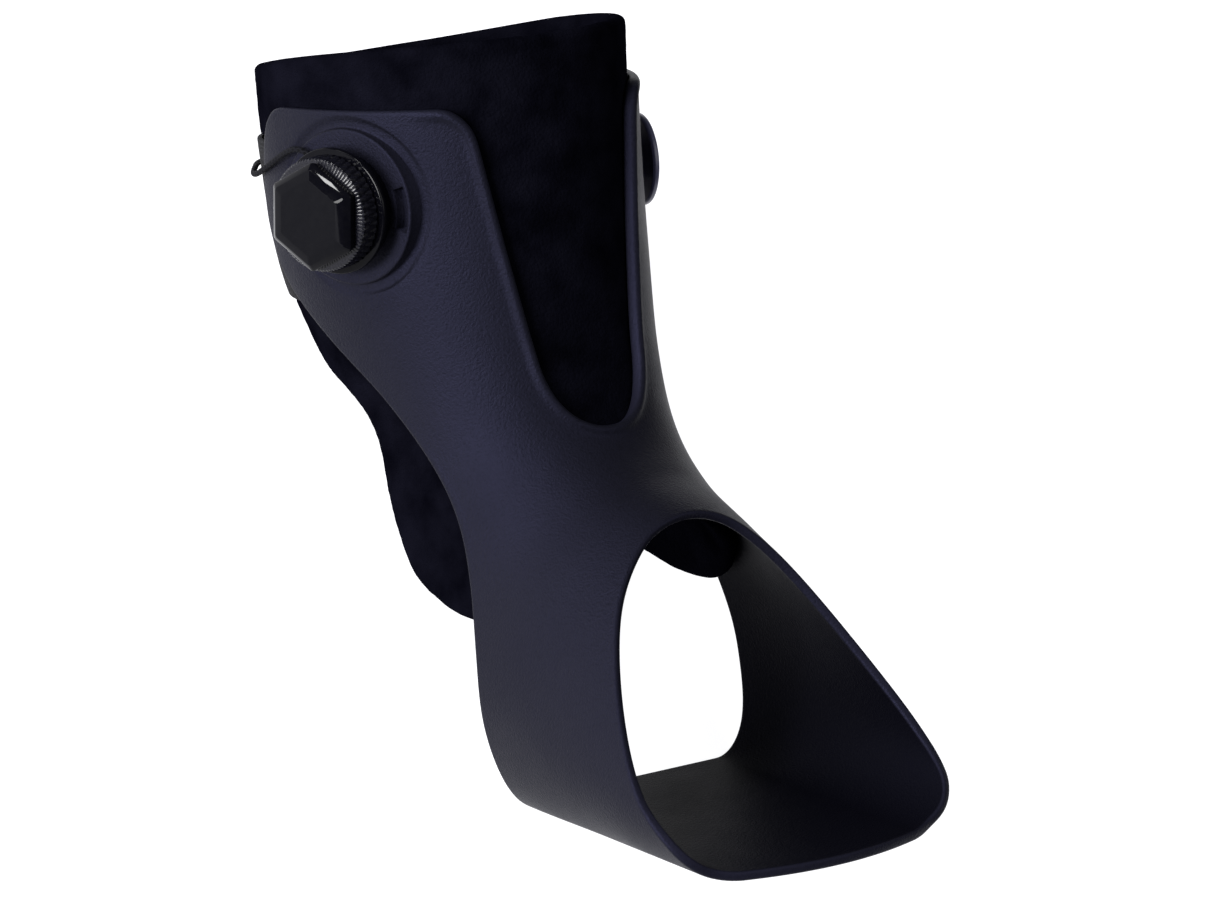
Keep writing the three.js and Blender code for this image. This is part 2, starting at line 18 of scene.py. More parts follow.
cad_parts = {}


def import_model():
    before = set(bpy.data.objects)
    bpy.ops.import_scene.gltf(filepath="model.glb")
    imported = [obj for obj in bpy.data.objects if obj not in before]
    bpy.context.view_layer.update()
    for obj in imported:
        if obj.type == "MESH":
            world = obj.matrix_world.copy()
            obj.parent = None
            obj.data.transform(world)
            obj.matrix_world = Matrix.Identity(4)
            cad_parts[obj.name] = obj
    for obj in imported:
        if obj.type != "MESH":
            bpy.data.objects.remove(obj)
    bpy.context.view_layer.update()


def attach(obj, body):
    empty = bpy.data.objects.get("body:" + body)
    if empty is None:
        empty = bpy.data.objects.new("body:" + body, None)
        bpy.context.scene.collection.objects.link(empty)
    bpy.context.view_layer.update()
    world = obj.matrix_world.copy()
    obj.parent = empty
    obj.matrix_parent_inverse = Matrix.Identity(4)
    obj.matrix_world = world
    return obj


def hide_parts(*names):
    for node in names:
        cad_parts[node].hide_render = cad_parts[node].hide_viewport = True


LOG = logging.getLogger("foot_drop_brace")
MM = 0.001

Array = np.ndarray
Shares = Sequence[tuple[float, float]]
Shades = Sequence[tuple[float, str]]
Inputs = Mapping[str | int, object]
Offset = Callable[[Array, Array], Array]
Point = tuple[float, float, float]
Piece = bpy.types.Object
Material = bpy.types.Material
Tree = bpy.types.NodeTree
Socket = bpy.types.NodeSocket

NOISE = ("Vector", "Scale", "Detail", "Roughness")
RANGE = ("Value", "From Min", "From Max", "To Min", "To Max")

SHELL_WALL = 3.2 * MM
SEAT_GAP = 0.35 * MM
LINER_WALL = 5.5 * MM
STRAP_WALL = 1.8 * MM
LACE_RADIUS = 1.0 * MM
DIAL_NECK = 18 * MM
BOSS_RADIUS = 25.5 * MM
BOSS_RISE = 1.2 * MM
HUB_RADIUS = 6.5 * MM
FITTING_BACK = 126.9 * MM
FITTING_HEIGHT = 188 * MM
BACK = 180.0
ACROSS_STEPS = 12
TRACE_STEPS = 600
# a point this far from a wall's edge shows nothing of it
AWAY = 10 * MM
# flat sizes of the whole form's length and of one degree round it, to space a wall's points
FLAT_SIZE = np.array([330 * MM, 1.05 * MM])

SHELL_TOP: Shares = ((0.62, 0.898), (0.12, 0.956))
SHELL_BACK: Shares = (
    (0.62, 0.898), (0.645, 0.865), (0.662, 0.775), (0.656, 0.712), (0.624, 0.655),
    (0.538, 0.583), (0.45, 0.517), (0.377, 0.446), (0.319, 0.371), (0.281, 0.296),
    (0.25, 0.208), (0.231, 0.125), (0.21, 0.042), (0.2, -0.04),
)
SHELL_TOE: Shares = (
    (-0.19, -0.04), (-0.186, 0.008), (-0.159, 0.05), (-0.094, 0.117), (-0.022, 0.208),
    (0.039, 0.3), (0.071, 0.367), (0.085, 0.412), (0.08, 0.479), (0.1, 0.583),
)
LINER_RIM: Shares = ((0.27, 1.03), (0.323, 1.022), (0.6, 0.967), (0.95, 0.87))
LINER_REAR: Shares = (
    (0.95, 0.64), (0.74, 0.632), (0.69, 0.6), (0.678, 0.556), (0.632, 0.528),
    (0.538, 0.497), (0.495, 0.455), (0.476, 0.36), (0.43, 0.285), (0.36, 0.257),
    (0.296, 0.25), (0.231, 0.265), (0.169, 0.33), (0.12, 0.42),
)


class Body(Enum):
    """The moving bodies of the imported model."""

    BRACE = "brace"
    KNOB = "knob"


class Side(Enum):
    """The two wings, by the sign of X."""

    DIAL = -1
    BUTTON = 1


@dataclass(frozen=True)
class Rest:
    """How the brace lies: leaned back about X, then moved."""

    lean: float = math.radians(46.224)
    shift: Point = (7.4134 * MM, -132.092 * MM, 38.334 * MM)

    def matrix(self) -> Matrix:
        """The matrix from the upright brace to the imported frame."""
        return Matrix.Translation(self.shift) @ Matrix.Rotation(-self.lean, 4, "X")

    def world(self, points: Array) -> Array:
        """Lays upright points back.

        Args:
            points: rows of x, y, z on the upright brace.

        Returns:
            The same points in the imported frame.
        """
        matrix = np.array(self.matrix())
        return points @ matrix[:3, :3].T + matrix[:3, 3]


REST = Rest()


def between(p0: Array, p1: Array, p2: Array, p3: Array, t: Array | float) -> Array:
    """Follows the Catmull-Rom curve through four points, from the second to the third.

    Args:
        p0: the point before.
        p1: where the stretch starts.
        p2: where it ends.
        p3: the point after.
        t: share of the way.

    Returns:
        The point or points there.
    """
    bend = 2 * p0 - 5 * p1 + 4 * p2 - p3
    twist = 3 * p1 - p0 - 3 * p2 + p3
    return 0.5 * (2 * p1 + (p2 - p0) * t + bend * t**2 + twist * t**3)


def spline(points: Array, steps: int = 14) -> Array:
    """Draws a smooth line through points, with held ends.

    Args:
        points: rows of coordinates that the line passes through.
        steps: pieces between one point and the next.

    Returns:
        Rows of points along the line.
    """
    padded = np.vstack([points[:1], points, points[-1:]])
    line = [
        between(*four, t)
        for four in zip(padded, padded[1:], padded[2:], padded[3:])
        for t in np.linspace(0.0, 1.0, steps, endpoint=False)
    ]
    return np.array([*line, points[-1]])


def smoothstep(low: float, high: float, value: Array) -> Array:
    """Rises smoothly from 0 at low to 1 at high."""
    t = np.clip((value - low) / (high - low), 0.0, 1.0)
    return t * t * (3.0 - 2.0 * t)


def unit(vectors: Array) -> Array:
    """Rows of vectors, each brought to length 1."""
    return vectors / np.linalg.norm(vectors, axis=1, keepdims=True)


def arc_length(points: Array) -> Array:
    """Distance along a line at each of its points."""
    steps = np.linalg.norm(np.diff(points, axis=0), axis=1)
    return np.concatenate([[0.0], np.cumsum(steps)])


def resampled(columns: Array, length: Array, count: int) -> Array:
    """Takes rows of a table at even distances.

    Args:
        columns: the table.
        length: the distance at each of its rows.
        count: rows that are wanted.

    Returns:
        The new rows, the first and the last as they were.
    """
    wanted = np.linspace(0.0, length[-1], count)
    return np.stack([np.interp(wanted, length, column) for column in columns.T], axis=1)


def link_new(name: str, data: bpy.types.ID) -> Piece:
    """Puts a new object with its data into the scene.

    Args:
        name: the object's name.
        data: its mesh, lamp or camera.

    Returns:
        The object.
    """
    made = bpy.data.objects.new(name, data)
    bpy.context.collection.objects.link(made)
    return made


def new_piece(name: str, points: Array, faces: Sequence[Sequence[int]]) -> Piece:
    """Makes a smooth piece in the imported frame.

    Args:
        name: the piece's name.
        points: rows of upright points.
        faces: the numbers of the points round each face.

    Returns:
        The object.
    """
    mesh = bpy.data.meshes.new(name)
    mesh.from_pydata(REST.world(points).tolist(), [], faces)
    mesh.polygons.foreach_set("use_smooth", [True] * len(mesh.polygons))
    return link_new(name, mesh)


def close_up(piece: Piece) -> None:
    """Merges a closed piece's double points and turns its faces outwards.

    Args:
        piece: the piece.
    """
    work = bmesh.new()
    work.from_mesh(piece.data)
    bmesh.ops.remove_doubles(work, verts=work.verts, dist=1e-6)
    bmesh.ops.recalc_face_normals(work, faces=work.faces)
    if work.calc_volume(signed=True) < 0:
        bmesh.ops.reverse_faces(work, faces=work.faces)
    work.to_mesh(piece.data)
    work.free()


@dataclass
class LegForm:
    """The smooth leg and foot that every wall follows.

    Each section is a closed curve through a front and a back point of the side view. A place on
    the form is v, from 0 at the calf to 1 at the toes, and turn, in degrees from 0 at the front
    to 180 at the back, negative on the dial's side.
    """

    height: float = 240 * MM
    depth: float = 260 * MM
    calf_width: float = 121 * MM
    ankle_width: float = 101 * MM
    foot_width: float = 111 * MM
    arc_share: float = 0.62
    rows: Array = field(init=False)

    def __post_init__(self) -> None:
        """Works the sections out from the driving sizes."""
        # front depth, front rise, back depth, back rise, width, widest place, squareness, flat
        self.rows = np.array([
            (0.339, 1.046, 0.822, 0.954, 1.03, 0.6, 2.25, 0.13),
            (0.315, 0.883, 0.803, 0.792, 1.01, 0.6, 2.1, 0.15),
            (0.295, 0.725, 0.765, 0.625, 0.965, 0.58, 2.1, 0.2),
            (0.272, 0.588, 0.673, 0.438, 1.01, 0.56, 2.3, 0.15),
            (0.237, 0.495, 0.608, 0.229, 0.96, 0.52, 2.4, 0.24),
            (0.177, 0.446, 0.492, 0, 1.03, 0.52, 2.2, 0.41),
            (0.092, 0.414, 0.238, 0, 1.0, 0.64, 1.9, 0.64),
            (-0.036, 0.35, 0.015, 0, 1.05, 0.7, 1.75, 0.6),
            (-0.158, 0.245, -0.223, 0, 1.085, 0.66, 1.75, 0.58),
        ])
        self.rows[:, :4] *= (self.depth, self.height) * 2
        self.rows[:, 7] *= self.rows[:, 4]
        half = np.repeat([self.calf_width, self.ankle_width, self.foot_width], 3) / 2
        self.rows[:, 4] *= half
        self.rows[:, 7] *= half

    def section(self, v: Array) -> Array:
        """Interpolates the section table smoothly.

        Args:
            v: places along the form, from 0 to 1.

        Returns:
            Rows of the eight section values.
        """
        last = len(self.rows) - 1
        place = np.clip(v, 0.0, 1.0) * last
        index = np.minimum(place.astype(int), last - 1)
        # past either end the table goes on as straight as it got there
        ends = 2 * self.rows[[0, -1]] - self.rows[[1, -2]]
        rows = np.vstack([ends[:1], self.rows, ends[1:]])
        return between(*(rows[index + k] for k in range(4)), (place - index)[:, None])

    def point(self, v: Array, turn: Array) -> Array:
        """Points on the form's outer surface, upright.

        Args:
            v: places along the form.
            turn: degrees round it.

        Returns:
            Rows of x, y and z.
        """
        front_y, front_z, back_y, back_z, half, widest, square, flat = self.section(v).T
        angle = np.abs(turn)
        fore = np.radians(np.minimum(angle, 90.0))
        x_fore = half * np.sin(fore) ** (2 / square)
        share_fore = widest * (1 - np.maximum(np.cos(fore), 0.0) ** (2 / square))
        q = np.clip((angle - 90.0) / 90.0, 0.0, 1.0)
        aft = np.pi / 2 * np.minimum(q / self.arc_share, 1.0)
        straight = flat * (1 - (q - self.arc_share) / (1 - self.arc_share))
        x_aft = np.where(q < self.arc_share, flat + (half - flat) * np.cos(aft), straight)
        share_aft = widest + (1 - widest) * np.sin(aft)
        share = np.where(angle <= 90.0, share_fore, share_aft)
        x = np.where(angle <= 90.0, x_fore, x_aft) * np.where(turn < 0, -1.0, 1.0)
        y = front_y + share * (back_y - front_y)
        z = front_z + share * (back_z - front_z)
        return np.stack([x, y, z], axis=1)

    def normal(self, v: Array, turn: Array) -> Array:
        """Outward unit normals, from small steps along the form and round it.

        Args:
            v: places along the form.
            turn: degrees round it.

        Returns:
            Rows of directions.
        """
        step, degrees = 0.004, 0.5
        along = self.point(np.minimum(v + step, 1.0), turn)
        along -= self.point(np.maximum(v - step, 0.0), turn)
        around = self.point(v, turn + degrees) - self.point(v, turn - degrees)
        return unit(-np.cross(around, along))

    def off(self, v: Array, turn: Array, distance: Array | float) -> Array:
        """Points at a distance off the form, negative inside it."""
        reach = np.broadcast_to(np.asarray(distance, float), v.shape)
        return self.point(v, turn) + self.normal(v, turn) * reach[:, None]

    def turn_at(self, v: Array, share: Array) -> Array:
        """Turns a front-to-back share of a section into degrees of turn.

        Args:
            v: places along the form.
            share: 0 at the front to 1 at the back.

        Returns:
            Degrees of turn, not negative.
        """
        table = self.section(v)
        widest, square = table[:, 5], table[:, 6]
        fore = np.degrees(np.arccos(np.clip(1 - share / widest, 0.0, 1.0) ** (square / 2)))
        arc = np.degrees(np.arcsin(np.clip((share - widest) / (1 - widest), 0.0, 1.0)))
        return np.where(share <= widest, fore, 90.0 + self.arc_share * arc)

    def trace(self, side: Array) -> Array:
        """Finds where side-view points lie between the form's front and back.

        Args:
            side: rows of depth and height.

        Returns:
            Rows of v and of the front-to-back share, which is outside 0 to 1 off the form.
        """
        v = np.linspace(0.0, 1.0, TRACE_STEPS)
        table = self.section(v)
        front = table[:, 0:2]
        reach = table[:, 2:4] - front
        found = []
        for point in side:
            gap = point - front
            wander = reach[:, 0] * gap[:, 1] - reach[:, 1] * gap[:, 0]
            share = (gap * reach).sum(axis=1) / (reach**2).sum(axis=1)
            crossing = np.nonzero(wander[:-1] * wander[1:] <= 0)[0]
            if len(crossing) == 0:
                continue
            k = crossing[np.argmin(np.abs(share[crossing] - 0.5))]
            t = wander[k] / (wander[k] - wander[k + 1])
            found.append((v[k] + t * (v[k + 1] - v[k]), share[k] + t * (share[k + 1] - share[k])))
        return np.array(found)

    def front_place(self, view: Array) -> Array:
        """Finds where front-view points lie on the front half.

        Args:
            view: rows of x and height.

        Returns:
            Rows of v and turn.
        """
        v = np.linspace(0.0, 1.0, TRACE_STEPS)
        table = self.section(v)
        found = []
        for x, z in view:
            half, widest, square = table[:, 4], table[:, 5], table[:, 6]
            angle = np.arcsin(np.clip((abs(x) / half), 0.0, 1.0) ** (square / 2))
            share = widest * (1 - np.cos(angle) ** (2 / square))
            height = table[:, 1] + share * (table[:, 3] - table[:, 1])
            place = np.interp(-z, -height, v)
            found.append((place, math.copysign(np.degrees(np.interp(place, v, angle)), x)))
        return np.array(found)

    def settle(self, places: Array, target: Array, axes: Array, passes: int = 14) -> Array:
        """Moves places until two coordinates of their points meet a target.

        Args:
            places: rows of v and turn to start from.
            target: rows of points to meet.
            axes: for each row, the two directions along which the points are compared.
            passes: steps of the search.

        Returns:
            Rows of v and turn.
        """
        step, degrees = 0.001, 0.2
        most_v, most_turn = 0.04, 6.0
        v, turn = places[:, 0].copy(), places[:, 1].copy()
        for _ in range(passes):
            here = self.point(v, turn)
            along = (self.point(v + step, turn) - here) / step
            ahead, behind = self.point(v, turn + degrees), self.point(v, turn - degrees)
            around = (ahead - behind) / (2 * degrees)
            missing = np.einsum("nij,nj->ni", axes, target - here)
            a, c = np.einsum("nij,nj->ni", axes, along).T
            b, d = np.einsum("nij,nj->ni", axes, around).T
            scale = a * d - b * c
            scale = np.where(np.abs(scale) < 1e-12, 1e-12, scale)
            v += np.clip((d * missing[:, 0] - b * missing[:, 1]) / scale, -most_v, most_v)
            turn += np.clip((a * missing[:, 1] - c * missing[:, 0]) / scale, -most_turn, most_turn)
        return np.stack([v, turn], axis=1)

    def side_points(self, shares: Shares) -> Array:
        """Points of a side view, from shares of the form's depth and height."""
        return np.array(shares, float) * (self.depth, self.height)


@dataclass
class Fitting:
    """Where a wing's fitting sits: origin on the form, with front, up and outward directions."""

    origin: Array
    front: Array
    up: Array
    out: Array
    place: tuple[float, float]

    @classmethod
    def on_wing(cls, form: LegForm, side: Side, back: float, height: float) -> "Fitting":
        """Places a fitting on a wing.

        Args:
            form: the leg form.
            side: which wing.
            back: depth of the fitting's axis in the side view.
            height: height of the axis in the side view.

        Returns:
            The fitting.
        """
        v, share = form.trace(np.array([[back, height]]))[0]
        turn = side.value * form.turn_at(np.array([v]), np.array([share]))
        here = (np.array([v]), turn)
        out = form.normal(*here)[0]
        front = np.cross((0.0, 0.0, 1.0), out) * -side.value
        front /= np.linalg.norm(front)
        return cls(form.point(*here)[0], front, np.cross(out, front), out, (v, float(turn[0])))

    def points(self, local: Array) -> Array:
        """Takes rows of front, up and outward distances to upright points."""
        return self.origin + local @ np.array([self.front, self.up, self.out])

    def matrix(self) -> Matrix:
        """Works out how to take a piece from the fitting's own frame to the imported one.

        Returns:
            The matrix.
        """
        turned = np.eye(4)
        turned[:3, :3] = np.array([self.front, self.up, self.out]).T
        turned[:3, 3] = self.origin
        return REST.matrix() @ Matrix(turned.tolist())


def spaced(form: LegForm, places: Array, count: int) -> Array:
    """Spaces places evenly along their line on the form, ends included."""
    return resampled(places, arc_length(form.point(*places.T)), count)


@dataclass
class Rim:
    """One closed edge of a wall, from the middle of the back round the form and to it again.

    places holds v and turn, from a turn of 180 down to just before -180. inward is the sign that
    takes the edge's left into the wall.
    """

    form: LegForm
    places: Array
    inward: int
    lip: Array | float = 0.0
    room: Array | None = None

    @classmethod
    def from_half(
        cls, form: LegForm, half: Array, inward: int, spacing: float, soften: float
    ) -> "Rim":
        """Makes a rim from its half on the button's side.

        Args:
            form: the leg form.
            half: rows of v and turn, from a turn of 180 to one of 0.
            inward: the sign that takes the edge's left into the wall.
            spacing: distance between the rim's points.
            soften: how far corners are rounded.

        Returns:
            The rim.
        """
        fine = 0.4 * MM
        length = arc_length(form.point(half[:, 0], half[:, 1]))[-1]
        dense = spaced(form, half, int(length / fine))
        reach = int(3 * soften / fine)
        before = dense[reach:0:-1] * (1, -1) + (0, 360)
        after = dense[-2 : -2 - reach : -1] * (1, -1)
        kernel = np.exp(-0.5 * (np.arange(-reach, reach + 1) * fine / soften) ** 2)
        kernel /= kernel.sum()
        whole = np.vstack([before, dense, after])
        soft = np.stack([np.convolve(whole[:, k], kernel, "valid") for k in (0, 1)], axis=1)
        soft[0, 1], soft[-1, 1] = BACK, 0.0
        even = spaced(form, soft, max(int(length / spacing), 8))
        mirrored = even[-2:0:-1] * (1, -1)
        return cls(form, np.vstack([even, mirrored]), inward)

    def inset(self, distance: float, free: float, last: float) -> Array:
        """The rim moved into the wall, less far where something stands close beside it.

        Args:
            distance: how far, along the form.
            free: the distance up to which the edge is never squeezed.
            last: the distance of the innermost ring.

        Returns:
            Rows of v and turn.
        """
        if distance == 0:
            return self.places.copy()
        reach = np.full(len(self.places), distance)
        if self.room is not None and distance > free:
            squeeze = np.clip((self.room - free) / (last - free), 0.02, 1.0)
            reach = free + (distance - free) * squeeze
        here = self.form.point(*self.places.T)
        normal = self.form.normal(*self.places.T)
        tangent = np.roll(here, -1, axis=0) - np.roll(here, 1, axis=0)
        tangent = unit(tangent)
        across = unit(np.cross(normal, tangent) * self.inward)
        axes = np.stack([across, tangent], axis=1)
        moved = self.form.settle(self.places, here + across * reach[:, None], axes)
        moved[0, 1] = BACK
        return moved


@dataclass
class EdgeShape:
    """How a wall's edge is rounded, and the bead that a lip raises beside it."""

    radius: float
    beyond: Sequence[float]
    steps: int = 4
    bead: Sequence[tuple[float, float]] = ()

    def distances(self) -> Array:
        """Distances from the edge at which the wall has a ring of points."""
        angles = np.linspace(math.pi / 2, 0.0, self.steps)
        return np.concatenate([self.radius * (1 - np.sin(angles)), self.beyond])

    def drop(self, distance: float) -> float:
        """How far the surface falls towards the middle of the wall at a distance."""
        gap = max(self.radius - distance, 0.0)
        return self.radius - math.sqrt(self.radius**2 - gap**2)

    def raised(self, distance: float) -> float:
        """Height of the lip's bead at a distance from the edge.

        Args:
            distance: how far from the edge.

        Returns:
            The height, or 0 without a bead.
        """
        if not self.bead:
            return 0.0
        reach, heights = zip(*self.bead)
        return float(np.interp(distance, reach, heights))


class WallMesh:
    """Gathers the points and faces of one closed wall.

    face is 1 while the outer face's points are added, and -1 while the inner face's are.
    """

    def __init__(self, form: LegForm) -> None:
        """Starts empty.

        Args:
            form: the leg form that the wall follows.
        """
        self.form = form
        self.face = 1
        self.points: list[Array] = []
        self.edge: list[float] = []
        self.faces: list[Sequence[int]] = []

    def add(self, points: Array, edge: float) -> Array:
        """Adds points.

        Args:
            points: rows of upright points.
            edge: their distance from the wall's edge, kept as minus that on the inner face.

        Returns:
            Their numbers.
        """
        start = len(self.points)
        self.points.extend(points)
        self.edge.extend([edge * self.face] * len(points))
        return np.arange(start, start + len(points))

    def strip(self, one: Array, other: Array, left_out: Sequence[int] = ()) -> None:
        """Joins two closed rings of points by quads, but for those that are left out."""
        quads = np.stack([one, np.roll(one, -1), np.roll(other, -1), other], axis=1)
        self.faces.extend(np.delete(quads, left_out, axis=0).tolist())

    def fill(
        self, loops: Sequence[tuple[Array, Array]], spacing: float, offset: Offset
    ) -> None:
        """Fills the flat region inside closed loops with even triangles.

        Args:
            loops: for each loop, rows of v and turn and the numbers of their points.
            spacing: distance between the points that are added.
            offset: gives distances off the form at v and turn.
        """
        known = np.vstack([places * FLAT_SIZE for places, _ in loops])
        numbers = np.concatenate([ids for _, ids in loops])
        cuts = np.cumsum([len(ids) for _, ids in loops])[:-1]
        starts = np.arange(len(known))
        ends = np.concatenate([np.roll(part, -1) for part in np.split(starts, cuts)])

        low, high = known.min(axis=0), known.max(axis=0)
        lattice = np.array([
            (y, x + (spacing / 2 if row % 2 else 0.0))
            for row, y in enumerate(np.arange(low[0], high[0], spacing * math.sqrt(0.75)))
            for x in np.arange(low[1], high[1], spacing)
        ])
        inner = lattice[self.inside(lattice, known, known[ends])]
        fence = np.vstack([known, (known + known[ends]) / 2])
        gaps = [
            np.linalg.norm(part[:, None] - fence, axis=2).min(axis=1)
            for part in np.array_split(inner, max(len(inner) // 500, 1))
        ]
        inner = inner[np.concatenate(gaps) > 0.55 * spacing]

        coords = [Vector((x, y)) for y, x in np.vstack([known, inner])]
        edges = list(zip(starts.tolist(), ends.tolist()))
        spots, _, triangles, origins, *_ = geometry.delaunay_2d_cdt(
            coords, edges, [], 0, 1e-9, True
        )
        places = np.array([(spot.y, spot.x) for spot in spots]) / FLAT_SIZE
        lookup = np.array([
            numbers[source[0]] if source and source[0] < len(known) else -1
            for source in origins
        ])
        fresh = lookup < 0
        v, turn = places[fresh].T
        lookup[fresh] = self.add(self.form.off(v, turn, offset(v, turn)), AWAY)
        corners = np.array(triangles)
        centres = (places * FLAT_SIZE)[corners].mean(axis=1)
        kept = lookup[corners[self.inside(centres, known, known[ends])]].tolist()
        self.faces.extend(corner for corner in kept if len(set(corner)) == 3)

    @staticmethod
    def inside(points: Array, starts: Array, ends: Array) -> Array:
        """Tells which flat points lie inside the loops, by counting crossings.

        Args:
            points: rows of flat points.
            starts: where the loops' sides start.
            ends: where they end.

        Returns:
            True for each point inside.
        """
        within = np.zeros(len(points), bool)
        for a, b in zip(starts, ends):
            if a[0] == b[0]:
                continue
            spans = (a[0] > points[:, 0]) != (b[0] > points[:, 0])
            at = a[1] + (points[:, 0] - a[0]) / (b[0] - a[0]) * (b[1] - a[1])
            within ^= spans & (points[:, 1] < at)
        return within

    def build(self, name: str) -> Piece:
        """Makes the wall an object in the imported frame.

        Args:
            name: the piece's name.

        Returns:
            The object, closed, with the distance from its edge as an attribute.
        """
        piece = new_piece(name, np.array(self.points), self.faces)
        attribute = piece.data.attributes.new("edge_distance", "FLOAT", "POINT")
        attribute.data.foreach_set("value", np.array(self.edge, np.float32))
        close_up(piece)
        return piece


@dataclass
class Wall:
    """A wall of the brace: a band of the form between two rims, with thickness and soft edges."""

    form: LegForm
    rims: tuple[Rim, Rim]
    edge: EdgeShape
    outer: Offset
    inner: Offset
    spacing: float

    def rings(self, mesh: WallMesh) -> list[tuple[Array, Array, Array]]:
        """Adds the rings of points beside both rims, and joins them.

        Args:
            mesh: the mesh that takes them.

        Returns:
            For each rim, its innermost places and the numbers of its outer and inner points.
        """
        beside = []
        distances = self.edge.distances()
        for rim in self.rims:
            sides: dict[int, list[Array]] = {1: [], -1: []}
            for distance in distances:
                places = rim.inset(distance, self.edge.radius, distances[-1])
                v, turn = places.T
                drop = self.edge.drop(distance)
                lift = self.edge.raised(distance)
                high = self.outer(v, turn) + (lift + drop) * rim.lip - drop
                for mesh.face, height in ((1, high), (-1, self.inner(v, turn) + drop)):
                    points = self.form.off(v, turn, height)
                    sides[mesh.face].append(mesh.add(points, distance))
            mesh.strip(sides[1][0], sides[-1][0])
            for rings in sides.values():
                for one, other in zip(rings, rings[1:]):
                    mesh.strip(one, other)
            beside.append((places, sides[1][-1], sides[-1][-1]))
        return beside

    def loop(
        self, mesh: WallMesh, places: Sequence[Array], numbers: Sequence[Array], offset: Offset
    ) -> tuple[Array, Array]:
        """The flat outline between the two rims, opened along the middle of the back.

        Args:
            mesh: the mesh that takes the seam's points.
            places: the innermost places beside each rim.
            numbers: the numbers of their points.
            offset: gives distances off the form.

        Returns:
            Rows of v and turn, and the numbers of their points.
        """
        span = np.array([beside[0, 0] for beside in places])
        gap = arc_length(self.form.point(span, np.full(2, BACK)))[-1]
        v = np.linspace(*span, max(int(gap / self.spacing), 2) + 1)[1:-1]
        back = np.full(len(v), BACK)
        seam = mesh.add(self.form.off(v, back, offset(v, back)), AWAY)
        right = np.stack([v, back], axis=1)
        first, second = (np.vstack([beside, beside[:1] * (1, -1)]) for beside in places)
        first_ids, second_ids = (np.append(ids, ids[0]) for ids in numbers)
        rows = np.vstack([first, right * (1, -1), second[::-1], right[::-1]])
        return rows, np.concatenate([first_ids, seam, second_ids[::-1], seam[::-1]])

    def build(
        self, name: str, holes: Sequence[tuple[Array, Array]] = (), mesh: WallMesh | None = None
    ) -> Piece:
        """Makes the wall.

        Args:
            name: the piece's name.
            holes: loops that the outer surface leaves open, already in the mesh.
            mesh: the mesh that holds the holes' points.

        Returns:
            The object.
        """
        mesh = mesh or WallMesh(self.form)
        places, *numbers = zip(*self.rings(mesh))
        sides = zip((1, -1), numbers, (self.outer, self.inner), (holes, ()))
        for mesh.face, ids, offset, open_loops in sides:
            outline = self.loop(mesh, places, ids, offset)
            mesh.fill([outline, *open_loops], self.spacing, offset)
        return mesh.build(name)


def from_back(form: LegForm, side: Array) -> Array:
    """Takes a side-view line that starts behind the form to its places on the button's side.

    Args:
        form: the leg form.
        side: rows of depth and height, from behind the form forwards.

    Returns:
        Rows of v and turn, straight across the back first.
    """
    v, share = form.trace(side).T
    enter = int(np.nonzero(share < 1)[0][0])
    t = (share[enter - 1] - 1) / (share[enter - 1] - share[enter])
    start = v[enter - 1] + t * (v[enter] - v[enter - 1])
    leave = np.nonzero(share[enter:] <= 0)[0]
    end = enter + int(leave[0]) if len(leave) else len(v)
    corner = 90.0 * (1 + form.arc_share)
    rows = [(start, turn) for turn in np.linspace(BACK, corner, ACROSS_STEPS)]
    rows += list(zip(v[enter:end], form.turn_at(v[enter:end], share[enter:end])))
    if end < len(v):
        t = share[end - 1] / (share[end - 1] - share[end])
        rows.append((v[end - 1] + t * (v[end] - v[end - 1]), 0.0))
    return np.array(rows)


def linear(code: str) -> tuple[float, float, float, float]:
    """Turns an sRGB hex colour into linear red, green, blue and alpha.

    Args:
        code: the colour, such as #0d0d13.

    Returns:
        The four values.
    """
    parts = [int(code[k : k + 2], 16) / 255 for k in (1, 3, 5)]
    steps = [c / 12.92 if c <= 0.04045 else ((c + 0.055) / 1.055) ** 2.4 for c in parts]
    return (steps[0], steps[1], steps[2], 1.0)


def set_inputs(tree: Tree, node: bpy.types.Node, inputs: Inputs) -> None:
    """Links or sets a node's inputs.

    Args:
        tree: the material's node tree.
        node: the node.
        inputs: sockets, numbers or hex colours, by the input's name or number.
    """
    for name, value in inputs.items():
        if isinstance(value, Socket):
            tree.links.new(value, node.inputs[name])
        else:
            node.inputs[name].default_value = linear(value) if isinstance(value, str) else value


def add_node(
    tree: Tree,
    kind: str,
    output: str | int = 0,
    inputs: Inputs | None = None,
    stops: Shades = (),
    **settings: object,
) -> Socket:
    """Adds a shader node.

    Args:
        tree: the material's node tree.
        kind: the node's type, after its ShaderNode.
        output: the output that is wanted.
        inputs: what its inputs take.
        stops: two places and hex colours, where the node is a colour ramp.
        **settings: properties of the node itself.

    Returns:
        The output's socket.
    """
    made = tree.nodes.new("ShaderNode" + kind)
    for name, value in settings.items():
        setattr(made, name, value)
    for k, (place, code) in enumerate(stops):
        made.color_ramp.elements[k].position = place
        made.color_ramp.elements[k].color = linear(code)
    set_inputs(tree, made, inputs or {})
    return made.outputs[output]


